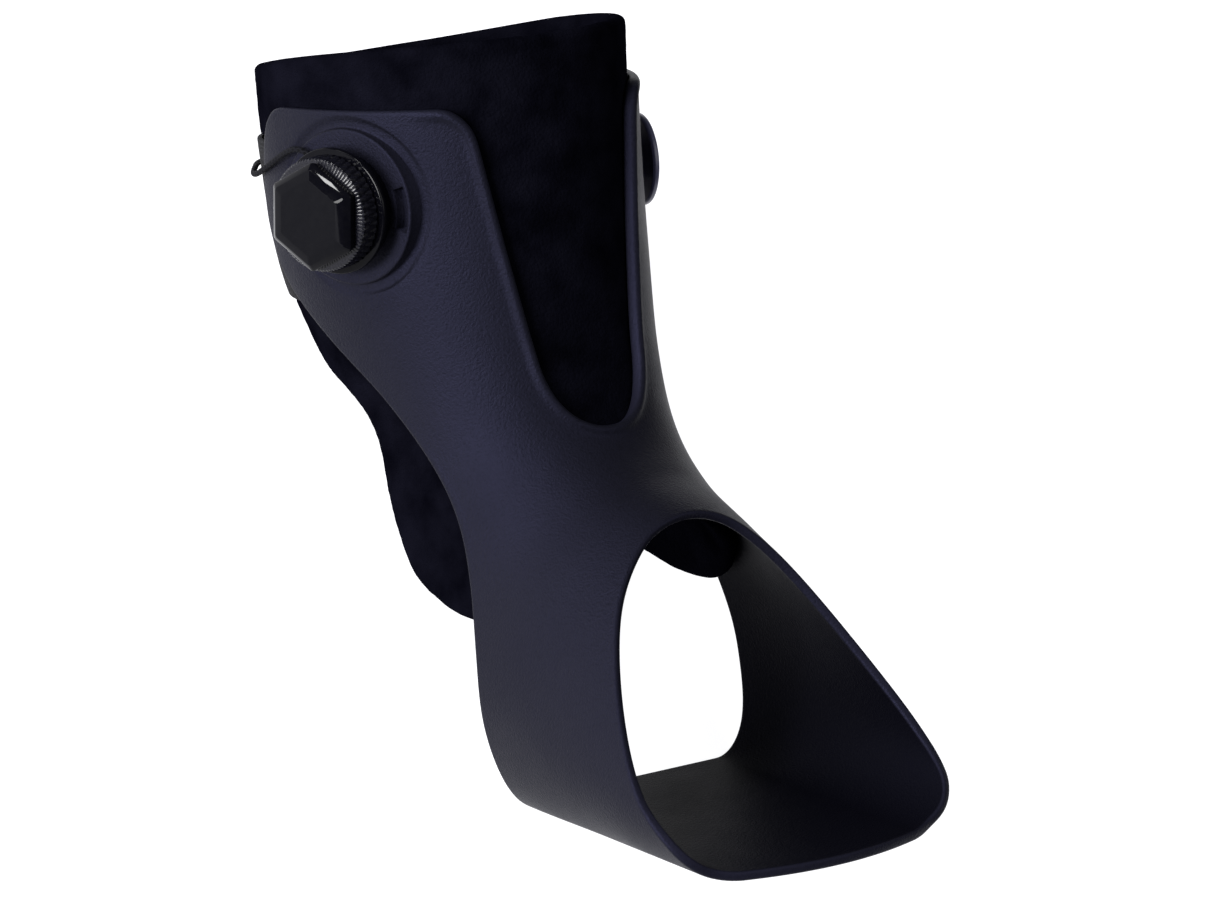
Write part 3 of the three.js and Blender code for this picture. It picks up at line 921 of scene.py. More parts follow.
@dataclass(frozen=True)
class Finish:
    """One material: its name, and what feeds its surface shader."""

    name: str

    def surface(self, tree: Tree) -> Inputs:
        """What the surface shader's inputs take."""
        raise NotImplementedError

    @staticmethod
    def skin(
        tree: Tree,
        tone: Socket,
        shades: Shades,
        relief: Sequence[Socket | float],
    ) -> dict[str, Socket]:
        """Gives the surface its colour and relief.

        Args:
            tree: the material's node tree.
            tone: the pattern that drives the colour.
            shades: its places and hex colours.
            relief: the pattern that drives the bump, its strength and its depth.

        Returns:
            What the shader's colour and normal take.
        """
        bump = dict(zip(("Height", "Strength", "Distance"), relief))
        return {
            "Base Color": add_node(tree, "ValToRGB", 0, {"Fac": tone}, shades),
            "Normal": add_node(tree, "Bump", 0, bump),
        }

    def material(self) -> Material:
        """Makes the material.

        Returns:
            The material.
        """
        made = bpy.data.materials.new(self.name)
        made.use_nodes = True
        tree = made.node_tree
        set_inputs(tree, tree.nodes["Principled BSDF"], self.surface(tree))
        return made


@dataclass(frozen=True)
class MouldedPlastic(Finish):
    """Polypropylene from a fine-etched mould: satin, with grain in its lit places."""

    name: str = "moulded_polypropylene"
    colour: str = "#0d0d13"
    speck: str = "#08080c"
    # pale colour along the edges: partly wear, partly a painted highlight along the rims
    wear_and_edge_highlight: str = "#1c1c29"
    tint: str = "#b8baff"
    # the inner face's colour: painted shade, darker than the outer face where the loops' insides
    # lie in shade
    inner: str = "#06060b"
    gloss: float = 0.095
    inner_gloss: float = 0.02
    grain: float = 0.85 * MM
    flow: float = 38 * MM
    roughness: tuple[float, float] = (0.42, 0.54)

    def surface(self, tree: Tree) -> Inputs:
        """Grain and flow all over, pale edges that are partly wear and partly a painted highlight,
        and an inner face painted darker, as shade, and duller.

        Args:
            tree: the material's node tree.

        Returns:
            What the surface shader's inputs take.
        """
        place = add_node(tree, "TexCoord", "Object")
        # etched grain, drawn a little coarser than the real one so that it shows
        grain = add_node(tree, "TexNoise", 0, dict(zip(NOISE, (place, 1 / self.grain, 3.0, 0.65))))
        flow = add_node(tree, "TexNoise", 0, dict(zip(NOISE, (place, 1 / self.flow, 2.0, 0.5))))
        shades = ((0.3, self.speck), (0.5, self.colour))
        body = add_node(tree, "ValToRGB", 0, {"Fac": grain}, shades)
        edge = add_node(tree, "Attribute", "Fac", attribute_name="edge_distance")
        within = (edge, -1.2 * MM, -0.3 * MM)
        # pale edges, partly wear and partly a painted highlight; then the inner face, painted
        # darker as shade
        for spread, code in (((edge, 0.0, 0.6 * MM, 0.3, 0.0), self.wear_and_edge_highlight),
                             ((*within, 1.0, 0.0), self.inner)):
            share = add_node(tree, "MapRange", 0, dict(zip(RANGE, spread)))
            mixed = {"Factor": share, 6: body, 7: code}
            body = add_node(tree, "Mix", 2, mixed, data_type="RGBA", blend_type="MIX")
        gloss = dict(zip(RANGE, (*within, self.inner_gloss, self.gloss)))
        rough = dict(zip(RANGE, (flow, 0.3, 0.7, *self.roughness)))
        bump = {"Height": grain, "Strength": 1.0, "Distance": 0.3 * MM}
        return {
            "Base Color": body,
            "Roughness": add_node(tree, "MapRange", 0, rough),
            "Specular IOR Level": add_node(tree, "MapRange", 0, gloss),
            "Specular Tint": self.tint,
            "Normal": add_node(tree, "Bump", 0, bump),
        }


@dataclass(frozen=True)
class LoopPile(Finish):
    """Brushed nylon loop over foam: deep black, with a faint bloom at grazing angles."""

    name: str = "brushed_nylon_loop"
    deep: str = "#030306"
    tip: str = "#0a0a11"
    bloom: str = "#3c3c55"
    loop: float = 1.1 * MM
    fibre: float = 0.35 * MM
    brushed: float = 14 * MM

    def surface(self, tree: Tree) -> Inputs:
        """Loops with fibres on them, and patches brushed one way or the other.

        Args:
            tree: the material's node tree.

        Returns:
            What the surface shader's inputs take.
        """
        place = add_node(tree, "TexCoord", "Object")
        cells = {"Vector": place, "Scale": 1 / self.loop, "Randomness": 1.0}
        loops = add_node(tree, "TexVoronoi", "Distance", cells)
        nap = add_node(tree, "TexNoise", 0, dict(zip(NOISE, (place, 1 / self.fibre, 2.0, 0.7))))
        brushed = add_node(tree, "TexNoise", 0, dict(zip(NOISE, (place, 1 / self.brushed, 3.0))))
        pile = add_node(tree, "Math", 0, {0: loops, 1: -0.8, 2: nap}, operation="MULTIPLY_ADD")
        shades = ((0.3, self.deep), (0.75, self.tip))
        return {
            **self.skin(tree, brushed, shades, (pile, 0.9, 0.45 * MM)),
            "Roughness": 0.95,
            "Specular IOR Level": 0.0,
            "Sheen Weight": 0.015,
            "Sheen Roughness": 0.5,
            "Sheen Tint": self.bloom,
        }


@dataclass(frozen=True)
class WovenBand(Finish):
    """Woven elastic webbing: ribs along the band, with a rolled edge."""

    name: str = "woven_elastic"
    thread: str = "#0f0f15"
    gap: str = "#050508"
    # the map runs 0 to 1 along and across; it is drawn out along, so those ribs are the finer
    length: float = 330 * MM
    width: float = 52 * MM
    pitch: float = 1.5 * MM

    def surface(self, tree: Tree) -> Inputs:
        """Ribs along the band, crossed by finer ones.

        Args:
            tree: the material's node tree.

        Returns:
            What the surface shader's inputs take.
        """
        place = add_node(tree, "UVMap", uv_map="UVMap")
        size = {"Vector": place, "Scale": (self.length, self.width, 1.0)}
        sized = add_node(tree, "Mapping", 0, size)
        ribs = []
        for direction, pitch in (("X", self.pitch * 0.8), ("Y", self.pitch)):
            wave = {"Scale": math.tau / (20 * pitch), "Distortion": 0.4, "Detail": 1.0}
            wave["Vector"] = sized
            ribs.append(add_node(
                tree, "TexWave", "Fac", wave, wave_type="BANDS", bands_direction=direction
            ))
        weave = add_node(tree, "Math", 0, dict(enumerate(ribs)), operation="MULTIPLY")
        shades = ((0.1, self.gap), (0.6, self.thread))
        return {
            **self.skin(tree, weave, shades, (weave, 0.7, 0.3 * MM)),
            "Roughness": 0.8,
            "Specular IOR Level": 0.06,
            "Sheen Weight": 0.02,
        }


@dataclass(frozen=True)
class GrainedPlastic(Finish):
    """A hard plastic in which one fine grain varies colour, gloss and surface."""

    shades: Shades
    grain: float
    detail: float
    unevenness: float
    roughness: tuple[float, float, float, float]
    relief: tuple[float, float]
    specular: float

    def surface(self, tree: Tree) -> Inputs:
        """The grain, and what it drives.

        Args:
            tree: the material's node tree.

        Returns:
            What the surface shader's inputs take.
        """
        place = add_node(tree, "TexCoord", "Object")
        marks = dict(zip(NOISE, (place, 1 / self.grain, self.detail, self.unevenness)))
        grain = add_node(tree, "TexNoise", 0, marks)
        rough = dict(zip(RANGE, (grain, *self.roughness)))
        return {
            **self.skin(tree, grain, self.shades, (grain, *self.relief)),
            "Roughness": add_node(tree, "MapRange", 0, rough),
            "Specular IOR Level": self.specular,
        }


@dataclass(frozen=True)
class PolishedPlastic(GrainedPlastic):
    """ABS from a polished mould: near black, mirror-like, with hair-fine handling marks."""

    name: str = "polished_abs"
    shades: Shades = ((0.35, "#030306"), (0.7, "#060609"))
    grain: float = 3 * MM
    detail: float = 6.0
    unevenness: float = 0.75
    roughness: tuple[float, float, float, float] = (0.4, 0.75, 0.04, 0.1)
    relief: tuple[float, float] = (0.02, 0.05 * MM)
    specular: float = 0.07


@dataclass(frozen=True)
class KnurledPlastic(GrainedPlastic):
    """Glass-filled nylon, moulded with a knurl: dark, with a low sheen on its ridges."""

    name: str = "knurled_nylon"
    shades: Shades = ((0.4, "#0a0a0f"), (0.75, "#15151d"))
    grain: float = 0.4 * MM
    detail: float = 3.0
    unevenness: float = 0.5
    roughness: tuple[float, float, float, float] = (0.35, 0.65, 0.14, 0.26)
    relief: tuple[float, float] = (0.15, 0.08 * MM)
    specular: float = 0.2


@dataclass(frozen=True)
class SatinPlastic(GrainedPlastic):
    """Acetal with a satin face: a little lighter than the shell, with a soft rim light."""

    name: str = "satin_acetal"
    shades: Shades = ((0.35, "#383850"), (0.6, "#45455f"))
    grain: float = 0.5 * MM
    detail: float = 2.0
    unevenness: float = 0.5
    roughness: tuple[float, float, float, float] = (0.3, 0.7, 0.28, 0.36)
    relief: tuple[float, float] = (0.1, 0.06 * MM)
    specular: float = 0.5


@dataclass(frozen=True)
class BraidedCord(Finish):
    """Braided polyester lace: crossing strands, drawn by the tube's own map."""

    name: str = "braided_polyester"
    strand: str = "#0d0d12"
    gap: str = "#040406"
    turns: float = 3.0
    pitch: float = 2.4 * MM

    def surface(self, tree: Tree) -> Inputs:
        """Two sets of strands, wound either way; the map's U is in metres, its V once round.

        Args:
            tree: the material's node tree.

        Returns:
            What the surface shader's inputs take.
        """
        place = add_node(tree, "UVMap", uv_map="UVMap")
        strands = []
        for lean in (self.turns, -self.turns):
            winding = {0: place, 1: (1 / self.pitch, lean, 0.0)}
            slant = add_node(tree, "VectorMath", "Value", winding, operation="DOT_PRODUCT")
            phase = add_node(tree, "Math", 0, {0: slant, 1: math.tau}, operation="MULTIPLY")
            strands.append(add_node(tree, "Math", 0, {0: phase}, operation="SINE"))
        braid = add_node(tree, "Math", 0, dict(enumerate(strands)), operation="MAXIMUM")
        shades = ((0.0, self.gap), (0.8, self.strand))
        return {
            **self.skin(tree, braid, shades, (braid, 0.6, 0.15 * MM)),
            "Roughness": 0.7,
            "Specular IOR Level": 0.05,
        }


@dataclass(frozen=True)
class OpalTable(Finish):
    """Opal acrylic of a light table: pale, lit from under, with a barely seen tooth."""

    name: str = "opal_table"
    shades: Shades = ((0.3, "#949499"), (0.7, "#9a9aa0"))
    glow: str = "#fbfbfc"
    strength: float = 0.98
    tooth: float = 2 * MM

    def surface(self, tree: Tree) -> Inputs:
        """A faint tooth, and the light from under.

        Args:
            tree: the material's node tree.

        Returns:
            What the surface shader's inputs take.
        """
        place = add_node(tree, "TexCoord", "Object")
        tooth = add_node(tree, "TexNoise", 0, dict(zip(NOISE, (place, 1 / self.tooth, 2.0))))
        return {
            "Base Color": add_node(tree, "ValToRGB", 0, {"Fac": tooth}, self.shades),
            "Roughness": 0.95,
            "Specular IOR Level": 0.1,
            "Emission Color": self.glow,
            "Emission Strength": self.strength,
        }


def dress(
    piece: Piece,
    material: Material,
    body: Body,
    nodes: Sequence[str] = (),
) -> Piece:
    """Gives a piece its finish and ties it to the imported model.

    Args:
        piece: the finished piece.
        material: its finish.
        body: the body that it moves with.
        nodes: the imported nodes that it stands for.

    Returns:
        The piece.
    """
    piece.data.materials.clear()
    piece.data.materials.append(material)
    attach(piece, body.value)
    if nodes:
        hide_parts(*nodes)
    LOG.info("%s: %d faces, on %s", piece.name, len(piece.data.polygons), body.value)
    return piece


@dataclass
class Shell:
    """The moulded front shell: two wings, the shin and the loop round the foot."""

    form: LegForm
    dial: Fitting
    finish: MouldedPlastic = MouldedPlastic()
    notch_bottom: float = 41 * MM
    notch_top: float = 62 * MM
    notch_floor: float = 0.498 * 240 * MM
    wing_top: float = 0.928 * 240 * MM
    wing_corner: float = 13 * MM
    toe_bow: float = 7 * MM
    bow_share: float = 0.9
    bow_height: float = 0.06
    bow_least: float = -0.35
    recess_radius: float = 29.5 * MM
    recess_depth: float = 0.8 * MM
    recess_margin: float = 0.7 * MM
    lip_turn: float = 80.0
    lip_fades: tuple[float, float] = (36 * MM, 50 * MM)
    slot_radius: float = 22.0 * MM
    slot_width: float = 4.5 * MM
    slot_depth: float = 3.4 * MM
    slot_from: float = -14.0
    slot_to: float = 24.0
    seat_step: float = 2.0
    crisp_at: tuple[float, ...] = (58.0, -52.0)
    crisp_width: float = 26.0
    spacing: float = 2.4 * MM
    rim_spacing: float = 1.7 * MM

    def notch_half(self) -> Array:
        """The notch's side and the wing's top corner, in the front view, from the top down.

        Returns:
            Rows of x and height.
        """
        low, high = self.notch_bottom / 2, self.notch_top / 2
        floor, top = self.notch_floor, self.wing_top
        t = np.linspace(0.0, 1.0, 24)[:, None]
        b0, b1 = np.array((0.0, floor)), np.array((0.62 * low, floor))
        b2, b3 = np.array((0.94 * low, floor + 0.45 * low)), np.array((low, floor + 1.15 * low))
        bottom = (1 - t) ** 3 * b0 + 3 * t * (1 - t) ** 2 * b1 + 3 * t**2 * (1 - t) * b2 + t**3 * b3
        c0 = np.array((high, top - self.wing_corner))
        c1 = np.array((high + 1 * MM, top - 0.1 * self.wing_corner))
        c2 = np.array((high + self.wing_corner, top + 1 * MM))
        corner = (1 - t) ** 2 * c0 + 2 * t * (1 - t) * c1 + t**2 * c2
        side = b3 + t * (c0 - b3)
        return np.vstack([bottom, side[1:], corner[1:]])[::-1]

    def upper_rim(self) -> Rim:
        """The sole's back edge, the back edge, the wing's top and the notch.

        Returns:
            The rim, with its lip and the room that the dial's recess leaves it.
        """
        form = self.form
        back = from_back(form, spline(form.side_points(SHELL_BACK))[::-1])
        notch = form.front_place(self.notch_half())
        points = form.point(*notch.T)
        top = form.side_points(SHELL_TOP)
        line = np.interp(points[:, 1], top[::-1, 0], top[::-1, 1])
        notch = notch[points[:, 2] < line]
        corner = form.point(*notch[:1].T)[0, 0]
        t = np.linspace(0.0, 1.0, 60)[1:, None]
        v, share = form.trace(top[0] + t * (top[1] - top[0])).T
        keep = (share > 0) & (share < 1)
        edge = np.stack([v[keep], form.turn_at(v[keep], share[keep])], axis=1)
        edge = edge[form.point(*edge.T)[:, 0] > corner + 1 * MM]
        half = np.vstack([back, edge, notch])
        rim = Rim.from_half(form, half, 1, self.rim_spacing, 2.2 * MM)
        x = np.abs(form.point(*rim.places.T)[:, 0])
        front = np.abs(rim.places[:, 1]) < self.lip_turn
        rim.lip = np.where(front, 1 - smoothstep(*self.lip_fades, x), 0.0)
        from_dial = np.linalg.norm(form.point(*rim.places.T) - self.dial.origin, axis=1)
        rim.room = from_dial - self.recess_radius - self.recess_margin
        return rim

    def toe_rim(self) -> Rim:
        """The toe end of the foot loop, bowed forwards under the toes.

        Returns:
            The rim.
        """
        form = self.form
        half = from_back(form, spline(form.side_points(SHELL_TOE)))
        level = form.point(*half.T)
        reach = form.rows[-1, 7] / self.bow_share
        fade = np.clip(1 - level[:, 2] / (self.bow_height * form.height), 0.0, 1.0)
        bowed = half.copy()
        for _ in range(3):
            x = form.point(*bowed.T)[:, 0]
            bow = self.toe_bow * fade * np.maximum(1 - (x / reach) ** 2, self.bow_least)
            v, share = form.trace(np.stack([level[:, 1] - bow, level[:, 2]], axis=1)).T
            round_side = np.arange(len(half)) >= ACROSS_STEPS
            turn = np.where(round_side, form.turn_at(v, np.clip(share, 0, 1)), half[:, 1])
            bowed = np.stack([v, turn], axis=1)
        bowed[-1, 1] = 0.0
        return Rim.from_half(form, bowed, -1, self.rim_spacing, 1.6 * MM)

    def dial_seat(self, mesh: WallMesh) -> tuple[Array, Array]:
        """Adds the round recess and the boss with its arc slot.

        Args:
            mesh: the mesh that takes them.

        Returns:
            The recess's outer circle, as places on the form and the numbers of its points.
        """
        degrees = np.arange(0.0, 360.0, self.seat_step)
        angles, count = np.radians(degrees), len(degrees)
        circle = np.stack([np.cos(angles), np.sin(angles), 0 * angles], axis=1)
        axes = np.broadcast_to(np.array([self.dial.front, self.dial.up]), (count, 2, 3))
        start = np.tile(self.dial.place, (count, 1))
        crisp = sum(
            np.exp(-(((degrees - middle + 180) % 360 - 180) / self.crisp_width) ** 2)
            for middle in self.crisp_at
        )
        # beyond the recess's radius in mm where its rim is crisp, and where it is soft; depth
        sunk = (
            (0.45, 0.45, 0.0), (0.15, 0.1, 0.08), (-0.1, -0.6, 0.34), (-0.35, -1.4, 0.72),
            (-0.8, -2.1, 0.96), (-1.6, -2.5, 1.0), (-2.8, -3.0, 1.0), (-3.65, -3.65, 1.0),
            (-3.92, -3.92, 0.8),
        )
        outlines, rings = [], []
        for hard, soft, depth in sunk:
            radius = self.recess_radius + (soft + (hard - soft) * crisp) * MM
            target = self.dial.points(circle * radius[:, None])
            outlines.append(self.form.settle(start, target, axes))
            points = self.form.off(*outlines[-1].T, -depth * self.recess_depth)
            rings.append(mesh.add(points, AWAY))
        far, near = self.slot_radii()
        # radius, and how far below the boss's face
        raised = (
            (BOSS_RADIUS, 0.6), (BOSS_RADIUS - 0.12 * MM, 0.26), (BOSS_RADIUS - 0.4 * MM, 0.05),
            (BOSS_RADIUS - 0.75 * MM, 0), (far, 0), (near, 0), (near - 1.5 * MM, 0), (8 * MM, 0),
        )
        for radius, low in raised:
            points = self.dial.points(circle * radius + (0, 0, BOSS_RISE - low * MM))
            rings.append(mesh.add(points, AWAY))
        slot = len(sunk) + 4
        first, last = (round(end / self.seat_step) for end in (self.slot_from, self.slot_to))
        for k, (one, other) in enumerate(zip(rings, rings[1:])):
            mesh.strip(one, other, [a % count for a in range(first, last)] if k == slot else ())
        hub = mesh.add(self.dial.points(np.array([[0.0, 0.0, BOSS_RISE]])), AWAY)
        fan = (rings[-1], np.roll(rings[-1], -1), np.repeat(hub, count))
        mesh.faces.extend(np.stack(fan, axis=1).tolist())
        self.slot_pocket(mesh, rings[slot], rings[slot + 1], range(first, last + 1))
        return outlines[0], rings[0]

    def slot_radii(self) -> tuple[float, float]:
        """The arc slot's outer and inner radius."""
        return self.slot_radius + self.slot_width / 2, self.slot_radius - self.slot_width / 2

    def slot_pocket(self, mesh: WallMesh, outer: Array, inner: Array, spans: range) -> None:
        """Sinks the arc slot into the boss.

        Args:
            mesh: the mesh that takes it.
            outer: the boss's ring of points along the slot's outer side.
            inner: the ring along its inner side.
            spans: the numbers of the ring's points beside the slot.
        """
        index = [k % len(outer) for k in spans]
        previous = np.concatenate([outer[index], inner[index][::-1]])
        far, near = self.slot_radii()
        for inset, depth in ((0.2 * MM, 0.2 * MM), (0.25 * MM, self.slot_depth)):
            angles = np.radians(np.array(list(spans)) * self.seat_step)
            shrink = inset / self.slot_radius
            angles = np.clip(angles, angles[0] + shrink, angles[-1] - shrink)
            rows = []
            for radius, way in ((far - inset, angles), (near + inset, angles[::-1])):
                height = np.full(len(way), BOSS_RISE - depth)
                rows.append(np.stack([radius * np.cos(way), radius * np.sin(way), height], axis=1))
            ring = mesh.add(self.dial.points(np.vstack(rows)), AWAY)
            mesh.strip(previous, ring)
            previous = ring
        one, other = previous[: len(index)], previous[len(index) :][::-1]
        floor = np.stack([one[:-1], one[1:], other[1:], other[:-1]], axis=1)
        mesh.faces.extend(floor.tolist())

    def build(self) -> Piece:
        """Makes and dresses the shell.

        Returns:
            The piece.
        """
        # distance from the edge and height, in mm
        bead = (
            (0, -0.45), (0.13, 0.15), (0.5, 0.72), (1.0, 1.08), (1.5, 1.25), (2.1, 1.2),
            (2.7, 0.9), (3.3, 0.45), (4.0, 0.12), (5.0, 0.0),
        )
        edge = EdgeShape(
            radius=1.0 * MM,
            beyond=tuple(distance * MM for distance, _ in bead[4:]),
            bead=tuple((distance * MM, height * MM) for distance, height in bead),
        )
        mesh = WallMesh(self.form)
        seat = self.dial_seat(mesh)
        wall = Wall(
            self.form,
            (self.upper_rim(), self.toe_rim()),
            edge,
            lambda v, turn: np.zeros(len(v)),
            lambda v, turn: np.full(len(v), -SHELL_WALL),
            self.spacing,
        )
        piece = wall.build("shell_moulding", holes=[seat], mesh=mesh)
        return dress(piece, self.finish.material(), Body.BRACE, ["shell"])


@dataclass
class StrapBand:
    """Where the calf strap lies, in the side view."""

    form: LegForm
    height: float = 52 * MM
    tuck: float = 9 * MM
    low_front: float = 0.627
    low_back: float = 0.585
    back: float = 0.95

    def corners(self) -> Array:
        """The five corners: lower front, lower bend, lower back, upper back and upper front.

        Returns:
            Rows of depth and height.
        """
        edge = self.form.side_points(SHELL_BACK)
        front, back = self.low_front * self.form.height, self.low_back * self.form.height
        rear = self.back * self.form.depth
        return np.array([
            (edge[5, 0] + self.tuck, front),
            (edge[2, 0], front - 0.01 * self.form.height),
            (rear, back),
            (rear, back + self.height),
            (edge[2, 0] - self.tuck, front + self.height),
        ])

    def covers(self, v: Array, turn: Array) -> Array:
        """How far places lie under the strap, from 0 to 1.

        Args:
            v: places along the form.
            turn: degrees round it.

        Returns:
            The share for each place.
        """
        y, z = self.form.point(v, turn)[:, 1:].T
        a, b, c, d, e = self.corners()
        low = np.interp(y, (a[0], b[0], c[0]), (a[1], b[1], c[1]))
        high = np.interp(y, (e[0], d[0]), (e[1], d[1]))
        front = np.interp(z, (a[1], e[1]), (a[0], e[0]))
        return math.prod(
            smoothstep(-2 * MM, 0.4 * MM, gap) for gap in (z - low, high - z, y - front)
        )

    def edges(self, count: int) -> tuple[Array, Array]:
        """The strap's lower and upper edges, from the middle of the back to the front.

        Args:
            count: points along each edge.

        Returns:
            Rows of v and turn for the lower edge, then for the upper.
        """
        a, b, c, d, e = self.corners()
        t = np.linspace(0.0, 1.0, 60)[:, None]
        low = from_back(self.form, np.vstack([c + t * (b - c), b + t[1:] * (a - b)]))
        high = from_back(self.form, d + t * (e - d))
        return spaced(self.form, low, count), spaced(self.form, high, count)


@dataclass
class Liner:
    """The padded liner: a band round the calf and a flap down the shin to the ankle."""

    form: LegForm
    band: StrapBand
    finish: LoopPile = LoopPile()
    pile: float = 0.16 * MM
    spacing: float = 1.8 * MM
    rim_spacing: float = 1.6 * MM
    corner: float = 3 * MM

    def nap(self, v: Array, turn: Array) -> Array:
        """The pile's uneven height at places on the form.

        Args:
            v: places along the form.
            turn: degrees round it.

        Returns:
            Heights, some of them negative.
        """
        points = self.form.point(v, turn)
        heights = [
            noise.noise(Vector(p) / (2.6 * MM)) + 0.6 * noise.noise(Vector(p) / (1.2 * MM))
            for p in points
        ]
        return np.array(heights) * self.pile

    def outer(self, v: Array, turn: Array) -> Array:
        """The liner's outer face, sunk where the strap lies."""
        bed = (STRAP_WALL + SEAT_GAP) * self.band.covers(v, turn)
        return -SHELL_WALL - SEAT_GAP - bed + self.nap(v, turn)

    def inner(self, v: Array, turn: Array) -> Array:
        """The liner's inner face."""
        return -SHELL_WALL - SEAT_GAP - LINER_WALL + self.nap(v, turn)

    def build(self) -> Piece:
        """Makes and dresses the liner.

        Returns:
            The piece.
        """
        form = self.form
        top = from_back(form, spline(form.side_points(LINER_RIM))[::-1])
        low = from_back(form, spline(form.side_points(LINER_REAR)))
        rims = tuple(
            Rim.from_half(form, line, inward, self.rim_spacing, self.corner)
            for line, inward in ((top, 1), (low, -1))
        )
        edge = EdgeShape(radius=2.6 * MM, beyond=(3.8 * MM, 5.2 * MM), steps=6)
        wall = Wall(form, rims, edge, self.outer, self.inner, self.spacing)
        piece = wall.build("padded_liner")
        return dress(piece, self.finish.material(), Body.BRACE, ["liner"])


def deselect() -> None:
    """Leaves nothing selected."""
    for chosen in bpy.context.selected_objects:
        chosen.select_set(False)


def make_active(piece: Piece) -> None:
    """Selects a piece and makes it the active one."""
    piece.select_set(True)
    bpy.context.view_layer.objects.active = piece


def apply_modifiers(piece: Piece) -> None:
    """Applies all of a piece's modifiers in order.

    Args:
        piece: the piece.
    """
    deselect()
    make_active(piece)
    for modifier in list(piece.modifiers):
        bpy.ops.object.modifier_apply(modifier=modifier.name)


def soften(piece: Piece, width: float, segments: int = 2, angle: float = 30) -> None:
    """Bevels a piece's sharp edges and shades it smooth.

    Args:
        piece: the piece.
        width: the bevel's width.
        segments: faces across the bevel.
        angle: edges sharper than this many degrees are bevelled.
    """
    bevel = piece.modifiers.new("soft_edges", "BEVEL")
    bevel.width = width
    bevel.segments = segments
    bevel.limit_method = "ANGLE"
    bevel.angle_limit = math.radians(angle)
    bevel.use_clamp_overlap = True
    apply_modifiers(piece)
    bpy.ops.object.shade_smooth_by_angle(angle=math.radians(32))


def turned(
    name: str, profile: Sequence[tuple[float, float]], segments: int, filled: bool = True
) -> Piece:
    """Turns a piece about Z by extruding a circle up its profile.

    Args:
        name: the piece's name.
        profile: radius and height of each ring.
        segments: points round a ring.
        filled: whether the first ring is a disc.

    Returns:
        The object, at the origin.
    """
    deselect()
    radius, height = profile[0]
    bpy.ops.mesh.primitive_circle_add(
        vertices=segments, radius=radius, fill_type="NGON" if filled else "NOTHING"
    )
    piece = bpy.context.active_object
    piece.name = name
    bpy.ops.object.mode_set(mode="EDIT")
    bpy.ops.mesh.select_all(action="SELECT")
    bpy.ops.transform.translate(value=(0, 0, height))
    for next_radius, next_height in profile[1:]:
        move = {"value": (0, 0, next_height - height)}
        if filled:
            bpy.ops.mesh.extrude_region_move(TRANSFORM_OT_translate=move)
        else:
            bpy.ops.mesh.extrude_edges_move(TRANSFORM_OT_translate=move)
        scale = next_radius / radius
        bpy.ops.transform.resize(value=(scale, scale, 1), center_override=(0, 0, next_height))
        radius, height = next_radius, next_height
    bpy.ops.mesh.select_all(action="SELECT")
    bpy.ops.mesh.remove_doubles(threshold=1e-6)
    bpy.ops.mesh.normals_make_consistent(inside=False)
    bpy.ops.object.mode_set(mode="OBJECT")
    return piece


@dataclass
class CalfStrap:
    """The woven band that closes the brace behind the calf."""

    form: LegForm
    band: StrapBand
    finish: WovenBand = WovenBand()
    proud: float = 1.4 * MM
    tucked: tuple[float, float] = (0.055, 0.11)
    rolled_edge: float = 0.45 * MM
    columns: int = 121
    rows: int = 17

    def build(self) -> Piece:
        """Makes and dresses the strap.

        Returns:
            The piece.
        """
        deselect()
        bpy.ops.mesh.primitive_grid_add(
            x_subdivisions=self.columns - 1, y_subdivisions=self.rows - 1, size=2
        )
        piece = bpy.context.active_object
        piece.name = "calf_band"
        flat = np.array([vertex.co for vertex in piece.data.vertices])
        marks = np.linspace(0.0, 1.0, 200)
        low, high = self.band.edges(len(marks))
        along, up = np.abs(flat[:, 0]), (flat[:, 1] + 1) / 2
        places = [
            (1 - up) * np.interp(along, marks, low[:, k]) + up * np.interp(along, marks, high[:, k])
            for k in (0, 1)
        ]
        turn = places[1] * np.where(flat[:, 0] < 0, -1.0, 1.0)
        rise = self.proud * smoothstep(*self.tucked, 1 - along)
        points = self.form.off(places[0], turn, -SHELL_WALL - SEAT_GAP + rise)
        for vertex, point in zip(piece.data.vertices, REST.world(points)):
            vertex.co = point
        self.face_outwards(piece)
        wall = piece.modifiers.new("thickness", "SOLIDIFY")
        wall.thickness = STRAP_WALL
        wall.offset = -1
        wall.use_even_offset = True
        apply_modifiers(piece)
        soften(piece, self.rolled_edge, 2, 50)
        return dress(piece, self.finish.material(), Body.BRACE, ["calf_strap"])

    def face_outwards(self, piece: Piece) -> None:
        """Turns the sheet's faces away from the leg.

        Args:
            piece: the open sheet.
        """
        centre = np.mean([vertex.co for vertex in piece.data.vertices], axis=0)
        inward = sum(
            face.normal.dot(face.center - Vector(centre)) < 0 for face in piece.data.polygons
        )
        if inward > len(piece.data.polygons) / 2:
            piece.data.flip_normals()


